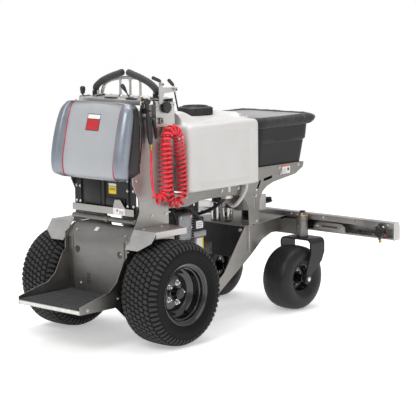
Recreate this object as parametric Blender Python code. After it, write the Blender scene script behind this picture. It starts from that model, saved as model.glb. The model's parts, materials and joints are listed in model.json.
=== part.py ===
"""Stand-on spreader-sprayer: a ride-on machine with a granular hopper, a liquid tank and a spray boom.

Metres, +Z up, +X forward, +Y to the operator's left. Every piece hangs from one empty that stands
on the ground under the rear axle, so the numbers below are measured from that point.
"""
import math

import bmesh
import bpy
from mathutils import Matrix, Vector

# ---- Driving dimensions -------------------------------------------------------------------------
GAP = 0.0003                # clearance between pieces that touch
REAR_END = -0.535           # rear lip of the operator platform
FRONT_END = 1.452           # front edge of the hopper cover
SHEET = 0.005               # thickness of the side frames
FRAME_IN = 0.245            # inner face of the side frames, from the centre plane
FRAME_OUT = FRAME_IN + SHEET
FILL_WIDTH = 2 * (FRAME_IN - GAP)

REAR_TYRE_R = 0.292
REAR_TYRE_W = 0.260
REAR_TRACK = 0.410          # centre plane to wheel centre
REAR_BEAD_R = 0.1530
RIM_DISC = 0.025            # outer face of the wheel disc, outboard of the wheel centre
RIM_LIP = 0.114
WHEEL_STEPS = 24            # facets round a wheel

CASTER_X = 1.257            # swivel axis
CASTER_Y = 0.318
CASTER_TRAIL = 0.097
CASTER_R = 0.195
CASTER_W = 0.196
CASTER_BEAD_R = 0.083
BARREL_R = 0.0365
BARREL_Z = (0.434, 0.567)
KINGPIN_R = 0.0160
KINGPIN_BORE_R = 0.0166     # clear of the pin's corners at every turn
AXLE_R = 0.010
AXLE_BORE_R = 0.0104

BEND_X = 0.846              # the side frames turn inward here
ARM_END_X = 1.2215
ARM_IN = 0.080              # how far each arm has moved inward at its front end
DECK_Z = 0.5423
DECK_T = 0.004
BEAM_Z = (0.447, 0.532)

PANEL_X = -0.155            # rear face of the engine box
MAT_T = 0.012
FLOOR_Z = 0.250
CONSOLE_Z = 1.343
TANK_X = (0.248, 0.852)
TANK_HALF = 0.330
TANK_Z = (0.805, 1.185)
CAP_X = 0.650
CAP_R = 0.105
CAP_Z = 1.203
HOPPER_FLOOR = 0.856
HOPPER_RIM = 1.144
OUTLET_X = 1.120
SPINNER_Z = 0.640
BOOM_X = 1.2955
BOOM_HALF = 0.975
BOOM_Z = (0.470, 0.571)
NOZZLE_Y = 0.892
LEVER_PIVOT = (0.080, 1.362)
LEVER_Y = 0.242
COIL_R = 0.031

# ---- Start from an empty scene ------------------------------------------------------------------
for old in list(bpy.data.objects):
    bpy.data.objects.remove(old, do_unlink=True)

scene = bpy.context.scene
machine = bpy.data.objects.new("machine", None)
machine.location = (-(REAR_END + FRONT_END) / 2, 0, 0)
scene.collection.objects.link(machine)

# ---- Materials ----------------------------------------------------------------------------------
MATERIALS = {}


def finish(name, colour, roughness, metallic=0.0):
    """A Principled material, made once."""
    if name not in MATERIALS:
        made = bpy.data.materials.new(name)
        made.use_nodes = True
        shader = made.node_tree.nodes["Principled BSDF"]
        shader.inputs["Base Color"].default_value = (*colour, 1)
        shader.inputs["Roughness"].default_value = roughness
        shader.inputs["Metallic"].default_value = metallic
        MATERIALS[name] = made
    return MATERIALS[name]


STAINLESS = finish("stainless", (0.36, 0.34, 0.32), 0.38, 1.0)
BLACK_STEEL = finish("black_steel", (0.012, 0.012, 0.013), 0.45)
TYRE = finish("tyre_rubber", (0.022, 0.022, 0.024), 0.80)
GLOSS_BLACK = finish("gloss_black", (0.008, 0.008, 0.009), 0.18)
BLACK_PLASTIC = finish("black_plastic", (0.020, 0.020, 0.022), 0.50)
FOAM = finish("foam_grip", (0.030, 0.031, 0.034), 0.85)
RUBBER = finish("mat_rubber", (0.040, 0.040, 0.042), 0.90)
WHITE_PLASTIC = finish("tank_white", (0.80, 0.78, 0.75), 0.40)
CHARCOAL = finish("hopper_charcoal", (0.045, 0.045, 0.048), 0.50)
COVER = finish("cover_fabric", (0.018, 0.017, 0.020), 0.90)
VINYL = finish("pad_vinyl", (0.45, 0.47, 0.52), 0.45)
CAST = finish("cast_aluminium", (0.30, 0.30, 0.31), 0.50, 0.8)
BRASS = finish("brass", (0.60, 0.42, 0.15), 0.30, 1.0)
RED_HOSE = finish("red_hose", (0.72, 0.015, 0.030), 0.35)
CLEAR_HOSE = finish("clear_hose", (0.70, 0.70, 0.68), 0.35)


# ---- Mesh helpers -------------------------------------------------------------------------------
def place(name, mesh, material, at=(0, 0, 0)):
    """Wrap a mesh in an object under the machine's empty, with its origin at a point."""
    mesh.transform(Matrix.Translation(-Vector(at)))
    made = bpy.data.objects.new(name, mesh)
    made.location = at
    made.parent = machine
    scene.collection.objects.link(made)
    mesh.materials.append(material)
    mesh.shade_smooth()
    mesh.set_sharp_from_angle(angle=math.radians(32))
    return made


def to_mesh(name, bm):
    """Close a bmesh off as a mesh whose faces point out."""
    bmesh.ops.recalc_face_normals(bm, faces=bm.faces)
    mesh = bpy.data.meshes.new(name)
    bm.to_mesh(mesh)
    bm.free()
    return mesh


def box_mesh(low, high, bevel=0.0, segments=1):
    """A box between two corners, its edges bevelled."""
    bm = bmesh.new()
    size = [b - a for a, b in zip(low, high)]
    middle = [(a + b) / 2 for a, b in zip(low, high)]
    bmesh.ops.create_cube(bm, size=1, matrix=Matrix.Translation(middle) @ Matrix.Diagonal((*size, 1)))
    if bevel:
        bmesh.ops.bevel(bm, geom=bm.edges[:], offset=bevel, segments=segments, affect="EDGES", profile=0.5)
    return to_mesh("box", bm)


AXES = {"x": (1, 2, 0), "y": (0, 2, 1), "z": (0, 1, 2)}


def prism_mesh(outline, axis, start, end, bevel=0.0):
    """Extrude an outline along an axis. Its points lie in the other two axes, in X, Y, Z order."""
    u, v, w = AXES[axis]
    bm = bmesh.new()
    ring = []
    for a, b in outline:
        point = [0.0, 0.0, 0.0]
        point[u], point[v], point[w] = a, b, start
        ring.append(bm.verts.new(point))
    face = bm.faces.new(ring)
    grown = bmesh.ops.extrude_face_region(bm, geom=[face])
    step = [0.0, 0.0, 0.0]
    step[w] = end - start
    moved = [v for v in grown["geom"] if isinstance(v, bmesh.types.BMVert)]
    bmesh.ops.translate(bm, verts=moved, vec=step)
    if bevel:
        bmesh.ops.bevel(bm, geom=bm.edges[:], offset=bevel, segments=1, affect="EDGES")
    return to_mesh("prism", bm)


def turned_mesh(profile, axis, centre, steps, closed=False):
    """Turn a profile of (position along the axis, radius) about an axis.

    An open profile starts and ends on the axis; a closed one makes a ring.
    """
    w = AXES[axis][2]
    along = Vector([1.0 if i == w else 0.0 for i in range(3)])
    out = Vector((0, 0, 1)) if axis != "z" else Vector((1, 0, 0))
    bm = bmesh.new()
    verts = [bm.verts.new(Vector(centre) + along * a + out * r) for a, r in profile]
    count = len(verts)
    edges = [bm.edges.new((verts[i], verts[(i + 1) % count])) for i in range(count if closed else count - 1)]
    bmesh.ops.spin(bm, geom=verts + edges, cent=centre, axis=along, angle=math.tau, steps=steps,
                   use_merge=True)
    bmesh.ops.remove_doubles(bm, verts=bm.verts, dist=0.00001)
    return to_mesh("turned", bm)


def cylinder_mesh(axis, centre, radius, start, end, steps=24, chamfer=0.0):
    """A solid cylinder along an axis; start and end are measured from the centre point."""
    if chamfer:
        profile = [(start, 0), (start, radius - chamfer), (start + chamfer, radius),
                   (end - chamfer, radius), (end, radius - chamfer), (end, 0)]
    else:
        profile = [(start, 0), (start, radius), (end, radius), (end, 0)]
    return turned_mesh(profile, axis, centre, steps)


def arc(centre, radius, start, end, count):
    """Points on an arc, angles in degrees."""
    points = []
    for i in range(count):
        angle = math.radians(start + (end - start) * i / (count - 1))
        points.append((centre[0] + radius * math.cos(angle), centre[1] + radius * math.sin(angle)))
    return points


def rounded_rectangle(low, high, radius, count=4):
    """A rectangle with arcs for corners, counter-clockwise."""
    (x0, y0), (x1, y1) = low, high
    corners = (((x1 - radius, y0 + radius), -90), ((x1 - radius, y1 - radius), 0),
               ((x0 + radius, y1 - radius), 90), ((x0 + radius, y0 + radius), 180))
    points = []
    for centre, angle in corners:
        points += arc(centre, radius, angle, angle + 90, count)
    return points


def loft_mesh(rings, capped=True):
    """Skin a stack of rings that have the same number of points."""
    bm = bmesh.new()
    levels = [[bm.verts.new(p) for p in ring] for ring in rings]
    for lower, upper in zip(levels, levels[1:]):
        for i in range(len(lower)):
            j = (i + 1) % len(lower)
            bm.faces.new((lower[i], lower[j], upper[j], upper[i]))
    if capped:
        bm.faces.new(levels[0][::-1])
        bm.faces.new(levels[-1])
    return to_mesh("loft", bm)


def pipe_mesh(points, radius, sides=10):
    """A round bar swept along a chain of points, with flat ends."""
    points = [Vector(p) for p in points]
    rings = []
    up = None
    for i, point in enumerate(points):
        ahead = points[min(i + 1, len(points) - 1)] - points[max(i - 1, 0)]
        ahead.normalize()
        if up is None:
            up = ahead.orthogonal().normalized()
        up = (up - ahead * up.dot(ahead)).normalized()
        side = ahead.cross(up)
        turns = [math.tau * k / sides for k in range(sides)]
        rings.append([point + radius * (math.cos(t) * up + math.sin(t) * side) for t in turns])
    return loft_mesh(rings)


def smooth_path(points, count):
    """A smooth curve through the points: a Catmull-Rom spline sampled evenly in its parameter."""
    points = [Vector(p) for p in points]
    padded = [2 * points[0] - points[1], *points, 2 * points[-1] - points[-2]]
    spans = len(points) - 1
    made = []
    for i in range(count):
        t = spans * i / (count - 1)
        k = min(int(t), spans - 1)
        t -= k
        a, b, c, d = padded[k:k + 4]
        made.append(0.5 * ((2 * b) + (c - a) * t + (2 * a - 5 * b + 4 * c - d) * t * t
                           + (3 * b - a - 3 * c + d) * t * t * t))
    return made


def cutter(name, mesh):
    """A guide object that a Boolean uses; it is not a piece."""
    guide = bpy.data.objects.new(name, mesh)
    guide.parent = machine
    guide.hide_render = True
    guide.display_type = "WIRE"
    scene.collection.objects.link(guide)
    return guide


def combine(target, mesh, operation):
    """Join or cut a piece with another mesh, exactly."""
    guide = cutter(f"{target.name}.{operation.lower()}.{len(target.modifiers)}", mesh)
    step = target.modifiers.new(operation.lower(), "BOOLEAN")
    step.operation = operation
    step.solver = "EXACT"
    step.object = guide


def join(target, *meshes):
    for mesh in meshes:
        combine(target, mesh, "UNION")


def cut(target, *meshes):
    for mesh in meshes:
        combine(target, mesh, "DIFFERENCE")


def sides():
    """The two sides of the machine: its name and the sign of Y."""
    return (("left", 1), ("right", -1))


def span(sign, inner, outer):
    """An interval on one side of the centre plane, lowest first."""
    return (inner, outer) if sign > 0 else (-outer, -inner)


# ---- Chassis ------------------------------------------------------------------------------------
SIDE_FRAME = [
    (-0.535, 0.226), (-0.270, 0.226), (-0.180, 0.143), (0.522, 0.143), (0.581, 0.184), (BEND_X, 0.357),
    (0.905, 0.387), (1.000, 0.437), (1.110, 0.462), (ARM_END_X, 0.455), (ARM_END_X, 0.542),
    (0.802, 0.542), (0.615, 0.288), (0.560, 0.250), (0.370, 0.250), (0.300, 0.300), (0.235, 0.440),
    (0.185, 0.600), (0.155, 0.6345), (-0.104, 0.6345), (-0.180, 0.585), (-0.180, 0.490),
    (-0.205, 0.470), (-0.227, 0.428), (-0.262, 0.362), (-0.320, 0.318), (-0.400, 0.302), (-0.535, 0.269),
]


def side_frame(name, sign):
    """Laser-cut plate: foot guard, engine bay side, diagonal leg and an arm bent toward the centre."""
    low, high = span(sign, FRAME_IN, FRAME_OUT)
    mesh = prism_mesh(SIDE_FRAME, "y", low, high)
    bm = bmesh.new()
    bm.from_mesh(mesh)
    bmesh.ops.bisect_plane(bm, geom=bm.verts[:] + bm.edges[:] + bm.faces[:], plane_co=(BEND_X, 0, 0),
                           plane_no=(1, 0, 0), dist=0.00001)
    for vert in bm.verts:
        beyond = max(0.0, vert.co.x - BEND_X) / (ARM_END_X - BEND_X)
        vert.co.y -= sign * ARM_IN * beyond
    plate = place(name, to_mesh(name, bm), STAINLESS)
    cut(plate, cylinder_mesh("y", (0, 0, REAR_TYRE_R), 0.050, *span(sign, 0.20, 0.30), steps=20))


def rear_cover():
    """Folded panel that closes the engine box toward the operator, with two access holes."""
    t = 0.004
    outline = [(PANEL_X, FLOOR_Z + 2 * GAP), (PANEL_X + t, FLOOR_Z + 2 * GAP), (PANEL_X + t, 0.566),
               (-0.088, 0.641), (-0.091, 0.645), (PANEL_X, 0.568)]
    panel = place("rear_cover", prism_mesh(outline, "y", -FILL_WIDTH / 2, FILL_WIDTH / 2), STAINLESS)
    for y in (-0.170, 0.170):
        cut(panel, cylinder_mesh("x", (PANEL_X, y, 0.493), 0.014, -0.02, 0.02, steps=16))


def operator_platform():
    """Standing floor with a turned-down rear lip, and the rubber mat on it."""
    t = 0.004
    outline = [(REAR_END, 0.226), (REAR_END + t, 0.226), (REAR_END + t, FLOOR_Z - t), (-0.125, FLOOR_Z - t),
               (-0.125, FLOOR_Z), (REAR_END, FLOOR_Z)]
    place("operator_platform", prism_mesh(outline, "y", -FILL_WIDTH / 2, FILL_WIDTH / 2), STAINLESS)
    mat = box_mesh((REAR_END, -0.236, FLOOR_Z + GAP), (PANEL_X - 0.004, 0.236, FLOOR_Z + MAT_T), 0.002)
    place("platform_mat", mat, RUBBER)


def fender(name, sign):
    """Bent plate over a rear tyre: a level top, a sloping rear flap and a turned-down outer lip."""
    t = 0.003
    top, inner, outer = 0.6390, FRAME_OUT + GAP, 0.420
    low, high = span(sign, inner, outer)
    plan = [(-0.121, inner), (0.150, inner), (0.120, outer), (-0.121, outer)]
    plan = [(x, sign * y) for x, y in plan]
    plate = place(name, prism_mesh(plan, "z", top - t, top), STAINLESS)
    flap = [(-0.1215, top), (-0.1185, top - t), (-0.191, 0.5365), (-0.1935, 0.5385)]
    flap_mesh = prism_mesh(flap, "y", low, high)
    lip = box_mesh((-0.1205, min(sign * outer, sign * (outer - t)), 0.606),
                   (0.1195, max(sign * outer, sign * (outer - t)), top - 0.001))
    join(plate, flap_mesh, lip)
    corner = [(0.345, 0.50), (0.345, 0.537), (0.425, 0.585), (0.46, 0.585), (0.46, 0.50)]
    corner = [(sign * y, z) for y, z in corner]
    cut(plate, prism_mesh(corner, "x", -0.22, -0.122))


def console_side(name, sign):
    """Tall side panel of the operator's tower; the right one carries the peg of the coiled hose."""
    low, high = span(sign, FRAME_IN, FRAME_OUT)
    outline = [(-0.117, 0.6400), (0.1545, 0.6400), (0.1545, 0.8050), (0.200, 0.815), (0.200, 1.3155),
               (-0.052, 1.3155), (-0.066, 1.000), (-0.066, 0.945), (-0.126, 0.925), (-0.124, 0.885),
               (-0.079, 0.795), (-0.077, 0.728)]
    plate = place(name, prism_mesh(outline, "y", low, high), STAINLESS)
    if sign < 0:
        peg = cylinder_mesh("y", (0.100, 0, 1.130), 0.005, -0.384, -0.246, steps=10)
        knob = cylinder_mesh("y", (0.100, 0, 1.130), 0.0075, -0.394, -0.384 + 0.001, steps=10, chamfer=0.002)
        join(plate, peg, knob)


def cross_members():
    """Round tube and plate that tie the tower together, and the black guard behind the pad's foot."""
    half = FILL_WIDTH / 2
    r, collar = 0.0145, 0.020
    profile = [(-half, 0), (-half, r), (-0.045, r), (-0.045, collar), (-0.020, collar), (-0.020, r),
               (half, r), (half, 0)]
    place("cross_tube", turned_mesh(profile, "y", (-0.110, 0, 0.677), 16), STAINLESS)
    outline = [(-half, 0.708), (half, 0.708), (half, 0.747), (-0.085, 0.747), (-0.100, 0.792),
               (-0.140, 0.794), (-0.182, 0.747), (-half, 0.747)]
    place("lower_cross_plate", prism_mesh(outline, "x", -0.119, -0.115), STAINLESS)
    guard = place("engine_guard", box_mesh((-0.098, -0.2445, 0.712), (-0.092, 0.2445, 0.930)), BLACK_STEEL)
    ribs = [box_mesh((-0.106, y - 0.006, 0.752), (-0.095, y + 0.006, 0.928)) for y in (-0.19, 0.0, 0.19)]
    join(guard, *ribs)


def front_frame():
    """Deck on the two arms, and the cross beam with the two caster barrels welded to its ends."""
    outline = [(0.806, -0.250), (0.930, -0.250), (1.291, -0.165), (1.291, 0.165), (0.930, 0.250), (0.806, 0.250)]
    deck = place("front_deck", prism_mesh(outline, "z", DECK_Z, DECK_Z + DECK_T), STAINLESS)
    cut(deck, cylinder_mesh("z", (0.955, -0.13, 0), 0.022, 0.5, 0.6, steps=12))
    beam = place("front_axle_beam", box_mesh((1.2230, -0.300, BEAM_Z[0]), (1.2915, 0.300, BEAM_Z[1])),
                 STAINLESS)
    for _, sign in sides():
        low, high = BARREL_Z
        profile = [(low, 0), (low, BARREL_R), (high, BARREL_R), (high, 0.027), (high + 0.014, 0.020),
                   (high + 0.020, 0)]
        join(beam, turned_mesh(profile, "z", (CASTER_X, sign * CASTER_Y, 0), 18))
        bore = cylinder_mesh("z", (CASTER_X, sign * CASTER_Y, 0), KINGPIN_BORE_R, low - 0.02, high - 0.004,
                             steps=16)
        cut(beam, bore)


SUPPORT_PLATE = [
    (0.1555, 0.725), (0.308, 0.719), (0.425, 0.742), (0.635, 0.743), (0.750, 0.735), (0.805, 0.700),
    (0.838, 0.655), (0.840, DECK_Z + DECK_T + GAP), (0.930, DECK_Z + DECK_T + GAP), (0.935, 0.620),
    (0.940, 0.690), (0.965, 0.735), (1.005, 0.762), (1.065, 0.782), (1.275, 0.812), (1.340, 0.845),
    (1.352, 0.862), (1.345, 0.882), (0.880, 0.882), (0.862, 0.8040), (0.1555, 0.8040),
]


def support_plate(name, sign):
    """Plate that carries the tank on its rail and the hopper on its column and tray side, with slots."""
    low, high = span(sign, FRAME_IN + 0.0005, FRAME_OUT)
    plate = place(name, prism_mesh(SUPPORT_PLATE, "y", low, high), STAINLESS)
    around = span(sign, 0.23, 0.27)
    level = [(0.975, 0.795), (1.055, 0.808), (1.055, 0.823), (0.975, 0.810)]
    slanted = [(0.905, 0.748), (0.920, 0.744), (0.952, 0.800), (0.940, 0.806)]
    upright = [(0.885, 0.640), (0.897, 0.640), (0.897, 0.712), (0.885, 0.712)]
    for slot in (level, slanted, upright):
        cut(plate, prism_mesh(slot, "y", *around))


def bulkhead():
    """Black plate across the front of the engine bay."""
    outline = [(-0.2445, 0.5415), (-0.2445, 0.440), (-0.180, 0.350), (0.180, 0.350), (0.2445, 0.440),
               (0.2445, 0.5415)]
    place("bulkhead_plate", prism_mesh(outline, "x", 0.7935, 0.7985), BLACK_STEEL)


# ---- Power ---------------------------------------------------------------------------------------
def engine():
    """V-twin engine: crankcase and finned cylinders, its cowl and air cleaner, and the exhaust."""
    block = place("engine_block", box_mesh((0.245, -0.125, 0.380), (0.500, 0.125, 0.560), 0.012), CAST)
    for _, sign in sides():
        low, high = span(sign, 0.095, 0.232)
        join(block, box_mesh((0.262, low, 0.508), (0.392, high, 0.645), 0.010))
        low, high = span(sign, 0.135, 0.205)
        for k in range(4):
            x = 0.280 + 0.030 * k
            join(block, box_mesh((x, low, 0.60), (x + 0.010, high, 0.672)))
    cowl = place("engine_cowl", box_mesh((0.255, -0.110, 0.6735), (0.490, 0.110, 0.765), 0.025, 2), BLACK_PLASTIC)
    join(cowl, cylinder_mesh("z", (0.545, 0.0, 0), 0.075, 0.610, 0.740, steps=24, chamfer=0.012))
    muffler = cylinder_mesh("x", (0, -0.182, 0.440), 0.048, 0.300, 0.520, steps=20, chamfer=0.010)
    join(block, muffler, box_mesh((0.380, -0.160, 0.420), (0.430, -0.115, 0.460)))


def transaxle(name, sign):
    """Hydrostatic drive unit with its axle tube, which reaches out to the wheel hub."""
    low, high = span(sign, 0.045, 0.2405)
    body = place(name, box_mesh((-0.105, low, 0.190), (0.120, high, 0.385), 0.012), CAST)
    tube = cylinder_mesh("y", (0, 0, REAR_TYRE_R), 0.040, *span(sign, 0.20, 0.395), steps=20)
    join(body, tube, cylinder_mesh("z", (-0.03, sign * 0.14, 0), 0.050, 0.37, 0.425, steps=18, chamfer=0.006))


# ---- Rear wheels ---------------------------------------------------------------------------------
def wheel_profile(sign, y, points):
    """Mirror a profile of (outboard offset, radius) to one side of the machine."""
    return [(sign * (y + a), r) for a, r in points]


def rear_wheel(side, sign):
    """Turf tyre as an open carcass, and the deep-dish rim with its hub cap."""
    half = REAR_TYRE_W / 2
    bead = REAR_BEAD_R + GAP
    seat = RIM_LIP - 0.0065
    edge = [(seat, bead), (seat, 0.1745), (half, 0.212), (half - 0.005, 0.256), (half - 0.045, 0.288)]
    lining = [(seat - 0.016, bead), (half - 0.018, 0.215), (half - 0.045, 0.272)]
    outer = [(-a, r) for a, r in edge] + [(0, REAR_TYRE_R)] + edge[::-1]
    inner = lining + [(-a, r) for a, r in lining[::-1]]
    centre = (0, 0, REAR_TYRE_R)
    tyre = turned_mesh(wheel_profile(sign, REAR_TRACK, outer + inner), "y", centre, WHEEL_STEPS, closed=True)
    at = (0, sign * REAR_TRACK, REAR_TYRE_R)
    place(f"rear_tyre_{side}", tyre, TYRE, at)
    flange = REAR_BEAD_R + 0.019
    rim = [(0.070, 0), (0.070, 0.026), (RIM_DISC, 0.034), (RIM_DISC, 0.108), (0.045, 0.137), (RIM_LIP, 0.150),
           (RIM_LIP, flange), (RIM_LIP - 0.006, flange), (RIM_LIP - 0.006, REAR_BEAD_R),
           (-RIM_LIP + 0.006, REAR_BEAD_R), (-RIM_LIP + 0.006, flange), (-RIM_LIP, flange), (-RIM_LIP, 0.149),
           (-0.050, 0.142), (0.014, 0.138), (0.018, 0.108), (0.015, 0.045), (-0.010, 0.045), (-0.010, 0)]
    disc = turned_mesh(wheel_profile(sign, REAR_TRACK, rim), "y", centre, WHEEL_STEPS)
    place(f"rear_rim_{side}", disc, GLOSS_BLACK, at)


# ---- Casters ---------------------------------------------------------------------------------------
def caster(side, sign):
    """Fork with its kingpin and axle bolt, the smooth tyre and the rim that turns on the bolt."""
    y = sign * CASTER_Y
    wheel_x = CASTER_X - CASTER_TRAIL
    leg_in, leg_t = CASTER_W / 2 + 0.012, 0.010
    top = BARREL_Z[0] - 0.002
    bend = 0.032
    reach = leg_in + leg_t - bend
    bridge = [(y + leg_in, top - 0.050), (y + leg_in + leg_t, top - 0.050)]
    bridge += arc((y + reach, top - bend), bend, 0, 90, 6) + arc((y - reach, top - bend), bend, 90, 180, 6)
    bridge += [(y - leg_in - leg_t, top - 0.050), (y - leg_in, top - 0.050)]
    bridge += arc((y - reach, top - bend), bend - leg_t, 180, 90, 6) + arc((y + reach, top - bend), bend - leg_t, 90, 0, 6)
    bridge = prism_mesh(bridge, "x", CASTER_X - 0.066, CASTER_X + 0.066)
    fork = place(f"caster_fork_{side}", bridge, BLACK_STEEL, (CASTER_X, y, top))
    leg = [(CASTER_X - 0.066, top - 0.036), (CASTER_X + 0.066, top - 0.036), (CASTER_X + 0.066, 0.345),
           (CASTER_X + 0.040, 0.290), *arc((wheel_x, CASTER_R), 0.033, 25, -155, 7),
           (CASTER_X - 0.085, 0.290), (CASTER_X - 0.062, 0.345)]
    for edge in (-leg_in - leg_t, leg_in):
        join(fork, prism_mesh(leg, "y", y + edge, y + edge + leg_t))
    join(fork, cylinder_mesh("z", (CASTER_X, y, 0), KINGPIN_R, top - 0.004, BARREL_Z[1] - 0.008, steps=16),
         cylinder_mesh("y", (wheel_x, y, CASTER_R), AXLE_R, -leg_in - 0.020, leg_in + 0.020, steps=18))
    half = CASTER_W / 2
    bead = CASTER_BEAD_R + GAP
    edge = [(half - 0.020, bead), (half, 0.115), (half, 0.153), (half - 0.020, 0.185)]
    lining = [(half - 0.034, bead), (half - 0.014, 0.135), (half - 0.040, 0.178)]
    outer = [(-a, r) for a, r in edge] + [(0, CASTER_R)] + edge[::-1]
    inner = lining + [(-a, r) for a, r in lining[::-1]]
    centre = (wheel_x, 0, CASTER_R)
    at = (wheel_x, y, CASTER_R)
    tyre = turned_mesh(wheel_profile(sign, CASTER_Y, outer + inner), "y", centre, 18, closed=True)
    place(f"caster_tyre_{side}", tyre, TYRE, at)
    lip, hub = 0.070, 0.104
    face = [(hub, AXLE_BORE_R), (hub, 0.022), (0.026, 0.024), (0.024, 0.070), (lip, 0.075), (lip, CASTER_BEAD_R)]
    rim = face + [(-a, r) for a, r in face[::-1]]
    ring = turned_mesh(wheel_profile(sign, CASTER_Y, rim), "y", centre, 18, closed=True)
    place(f"caster_rim_{side}", ring, GLOSS_BLACK, at)


# ---- Tank, hopper and spreader ------------------------------------------------------------------
def tank_ring(inset, z, top_inset=0.0):
    """A level outline of the tank, moved in from its walls."""
    low = (TANK_X[0] + inset + top_inset, -TANK_HALF + inset + top_inset)
    high = (TANK_X[1] - inset - top_inset, TANK_HALF - inset - top_inset)
    return [(x, y, z) for x, y in rounded_rectangle(low, high, 0.022 - inset * 0.3, 4)]


def liquid_tank():
    """Hollow moulded tank with a crowned top and a filler neck."""
    wall, (low, high) = 0.006, TANK_Z
    outer = [tank_ring(0.006, low), tank_ring(0, low + 0.010), tank_ring(0, high - 0.020),
             tank_ring(0.012, high), tank_ring(0.035, high + 0.012, 0.025), tank_ring(0.040, high + 0.016, 0.060)]
    tank = place("liquid_tank", loft_mesh(outer), WHITE_PLASTIC)
    neck = cylinder_mesh("z", (CAP_X, 0, 0), CAP_R - 0.015, high, CAP_Z + 0.012, steps=20)
    rear = [(0.272, 1.185), (0.272, 1.236), (0.286, 1.258), (0.330, 1.250), (0.470, 1.202), (0.480, 1.185)]
    front = [(0.784, 1.185), (0.791, 1.205), (0.814, 1.226), (0.828, 1.218), (0.832, 1.185)]
    join(tank, neck, prism_mesh(rear, "y", -0.245, 0.245, 0.004), prism_mesh(front, "y", -0.240, 0.240, 0.003))
    inner = [tank_ring(wall, low + wall), tank_ring(wall, high - 0.022), tank_ring(0.030, high - 0.004),
             tank_ring(0.040, high + 0.004, 0.050)]
    cut(tank, loft_mesh(inner), cylinder_mesh("z", (CAP_X, 0, 0), CAP_R - 0.022, high - 0.03, CAP_Z + 0.03, steps=20))


def tank_cap():
    """Screw cap: a skirted lid with a raised disc, turning about its own axis."""
    skirt, top = CAP_Z - 0.0005, CAP_Z + 0.050
    profile = [(top + 0.006, 0), (top + 0.006, 0.070), (top - 0.002, 0.074), (top - 0.002, CAP_R - 0.006),
               (top - 0.008, CAP_R), (skirt, CAP_R), (skirt, CAP_R - 0.0135), (top - 0.008, CAP_R - 0.0135),
               (top - 0.008, 0)]
    place("tank_cap", turned_mesh(profile, "z", (CAP_X, 0, 0), 24), BLACK_PLASTIC, (CAP_X, 0, CAP_Z))


def hopper_ring(z, rear, front, half, radius):
    return [(x, y, z) for x, y in rounded_rectangle((rear, -half), (front, half), radius, 4)]


def hopper():
    """Tapered moulded hopper, open on top, with a funnel down to its outlet."""
    t, rim = 0.005, HOPPER_RIM
    levels = [(HOPPER_FLOOR + 0.0005, 0.915, 1.346, 0.236, 0.045), (0.895, 0.905, 1.357, 0.243, 0.050),
              (1.019, 0.893, 1.373, 0.260, 0.055), (1.027, 0.884, 1.383, 0.271, 0.062),
              (rim, 0.880, 1.389, 0.285, 0.068)]
    shell = place("hopper", loft_mesh([hopper_ring(*level) for level in levels]), CHARCOAL)
    join(shell, cylinder_mesh("z", (OUTLET_X, 0, 0), 0.050, 0.7205, HOPPER_FLOOR + 0.003, steps=24))
    inside = [hopper_ring(z + (t if i == 0 else 0), rear + t, front - t, half - t, radius - t)
              for i, (z, rear, front, half, radius) in enumerate(levels[:-1])]
    inside.append(hopper_ring(rim + 0.02, 0.880 + t, 1.389 - t, 0.285 - t, 0.063))
    cut(shell, loft_mesh(inside), cylinder_mesh("z", (OUTLET_X, 0, 0), 0.045, 0.70, HOPPER_FLOOR + 0.02, steps=24))


def hopper_cover():
    """Fitted fabric cover: a crowned skin that rests on the rim, with a skirt that grips it."""
    rim = HOPPER_RIM
    levels = [(rim - 0.020, 0.872, 1.418, 0.296, 0.075), (rim + 0.006, 0.860, FRONT_END, 0.310, 0.082),
              (rim + 0.024, 0.872, 1.440, 0.300, 0.080), (rim + 0.040, 0.940, 1.372, 0.235, 0.080)]
    cover = place("hopper_cover", loft_mesh([hopper_ring(*level) for level in levels]), COVER,
                  (1.130, 0, rim + 0.0005))
    skirt = [hopper_ring(z, 0.8772, 1.3918, 0.2878, 0.070) for z in (rim - 0.040, rim + 0.0004)]
    crown = [hopper_ring(rim - 0.001, 0.893, 1.376, 0.272, 0.065), hopper_ring(rim + 0.018, 0.888, 1.400, 0.278, 0.065),
             hopper_ring(rim + 0.035, 0.945, 1.367, 0.231, 0.070)]
    cut(cover, loft_mesh(skirt), loft_mesh(crown))


def hopper_tray():
    """Sloping tray between the support plates, with the spinner's rear guard hanging from it."""
    line = [(0.975, 0.748), (1.007, 0.764), (1.066, 0.785), (1.275, 0.816), (1.3525, 0.846), (1.3605, 0.878)]
    outline = line + [(1.3575, 0.878), (1.3495, 0.848), (1.274, 0.819), (1.065, 0.788), (1.005, 0.767), (0.973, 0.751)]
    half = FILL_WIDTH / 2
    tray = place("hopper_tray", prism_mesh(outline, "y", -half, half), STAINLESS)
    cut(tray, cylinder_mesh("z", (OUTLET_X, 0, 0), 0.062, 0.7, 0.9, steps=24))
    guard = arc((OUTLET_X, 0), 0.171, 100, 260, 17) + arc((OUTLET_X, 0), 0.168, 260, 100, 17)
    join(tray, prism_mesh(guard, "z", 0.605, 0.700))
    for y in (-0.08, 0.08):
        join(tray, box_mesh((0.9690, y - 0.015, 0.680), (0.9720, y + 0.015, 0.7480)),
             box_mesh((0.9690, y - 0.015, 0.7460), (0.9800, y + 0.015, 0.7495)))


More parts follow.
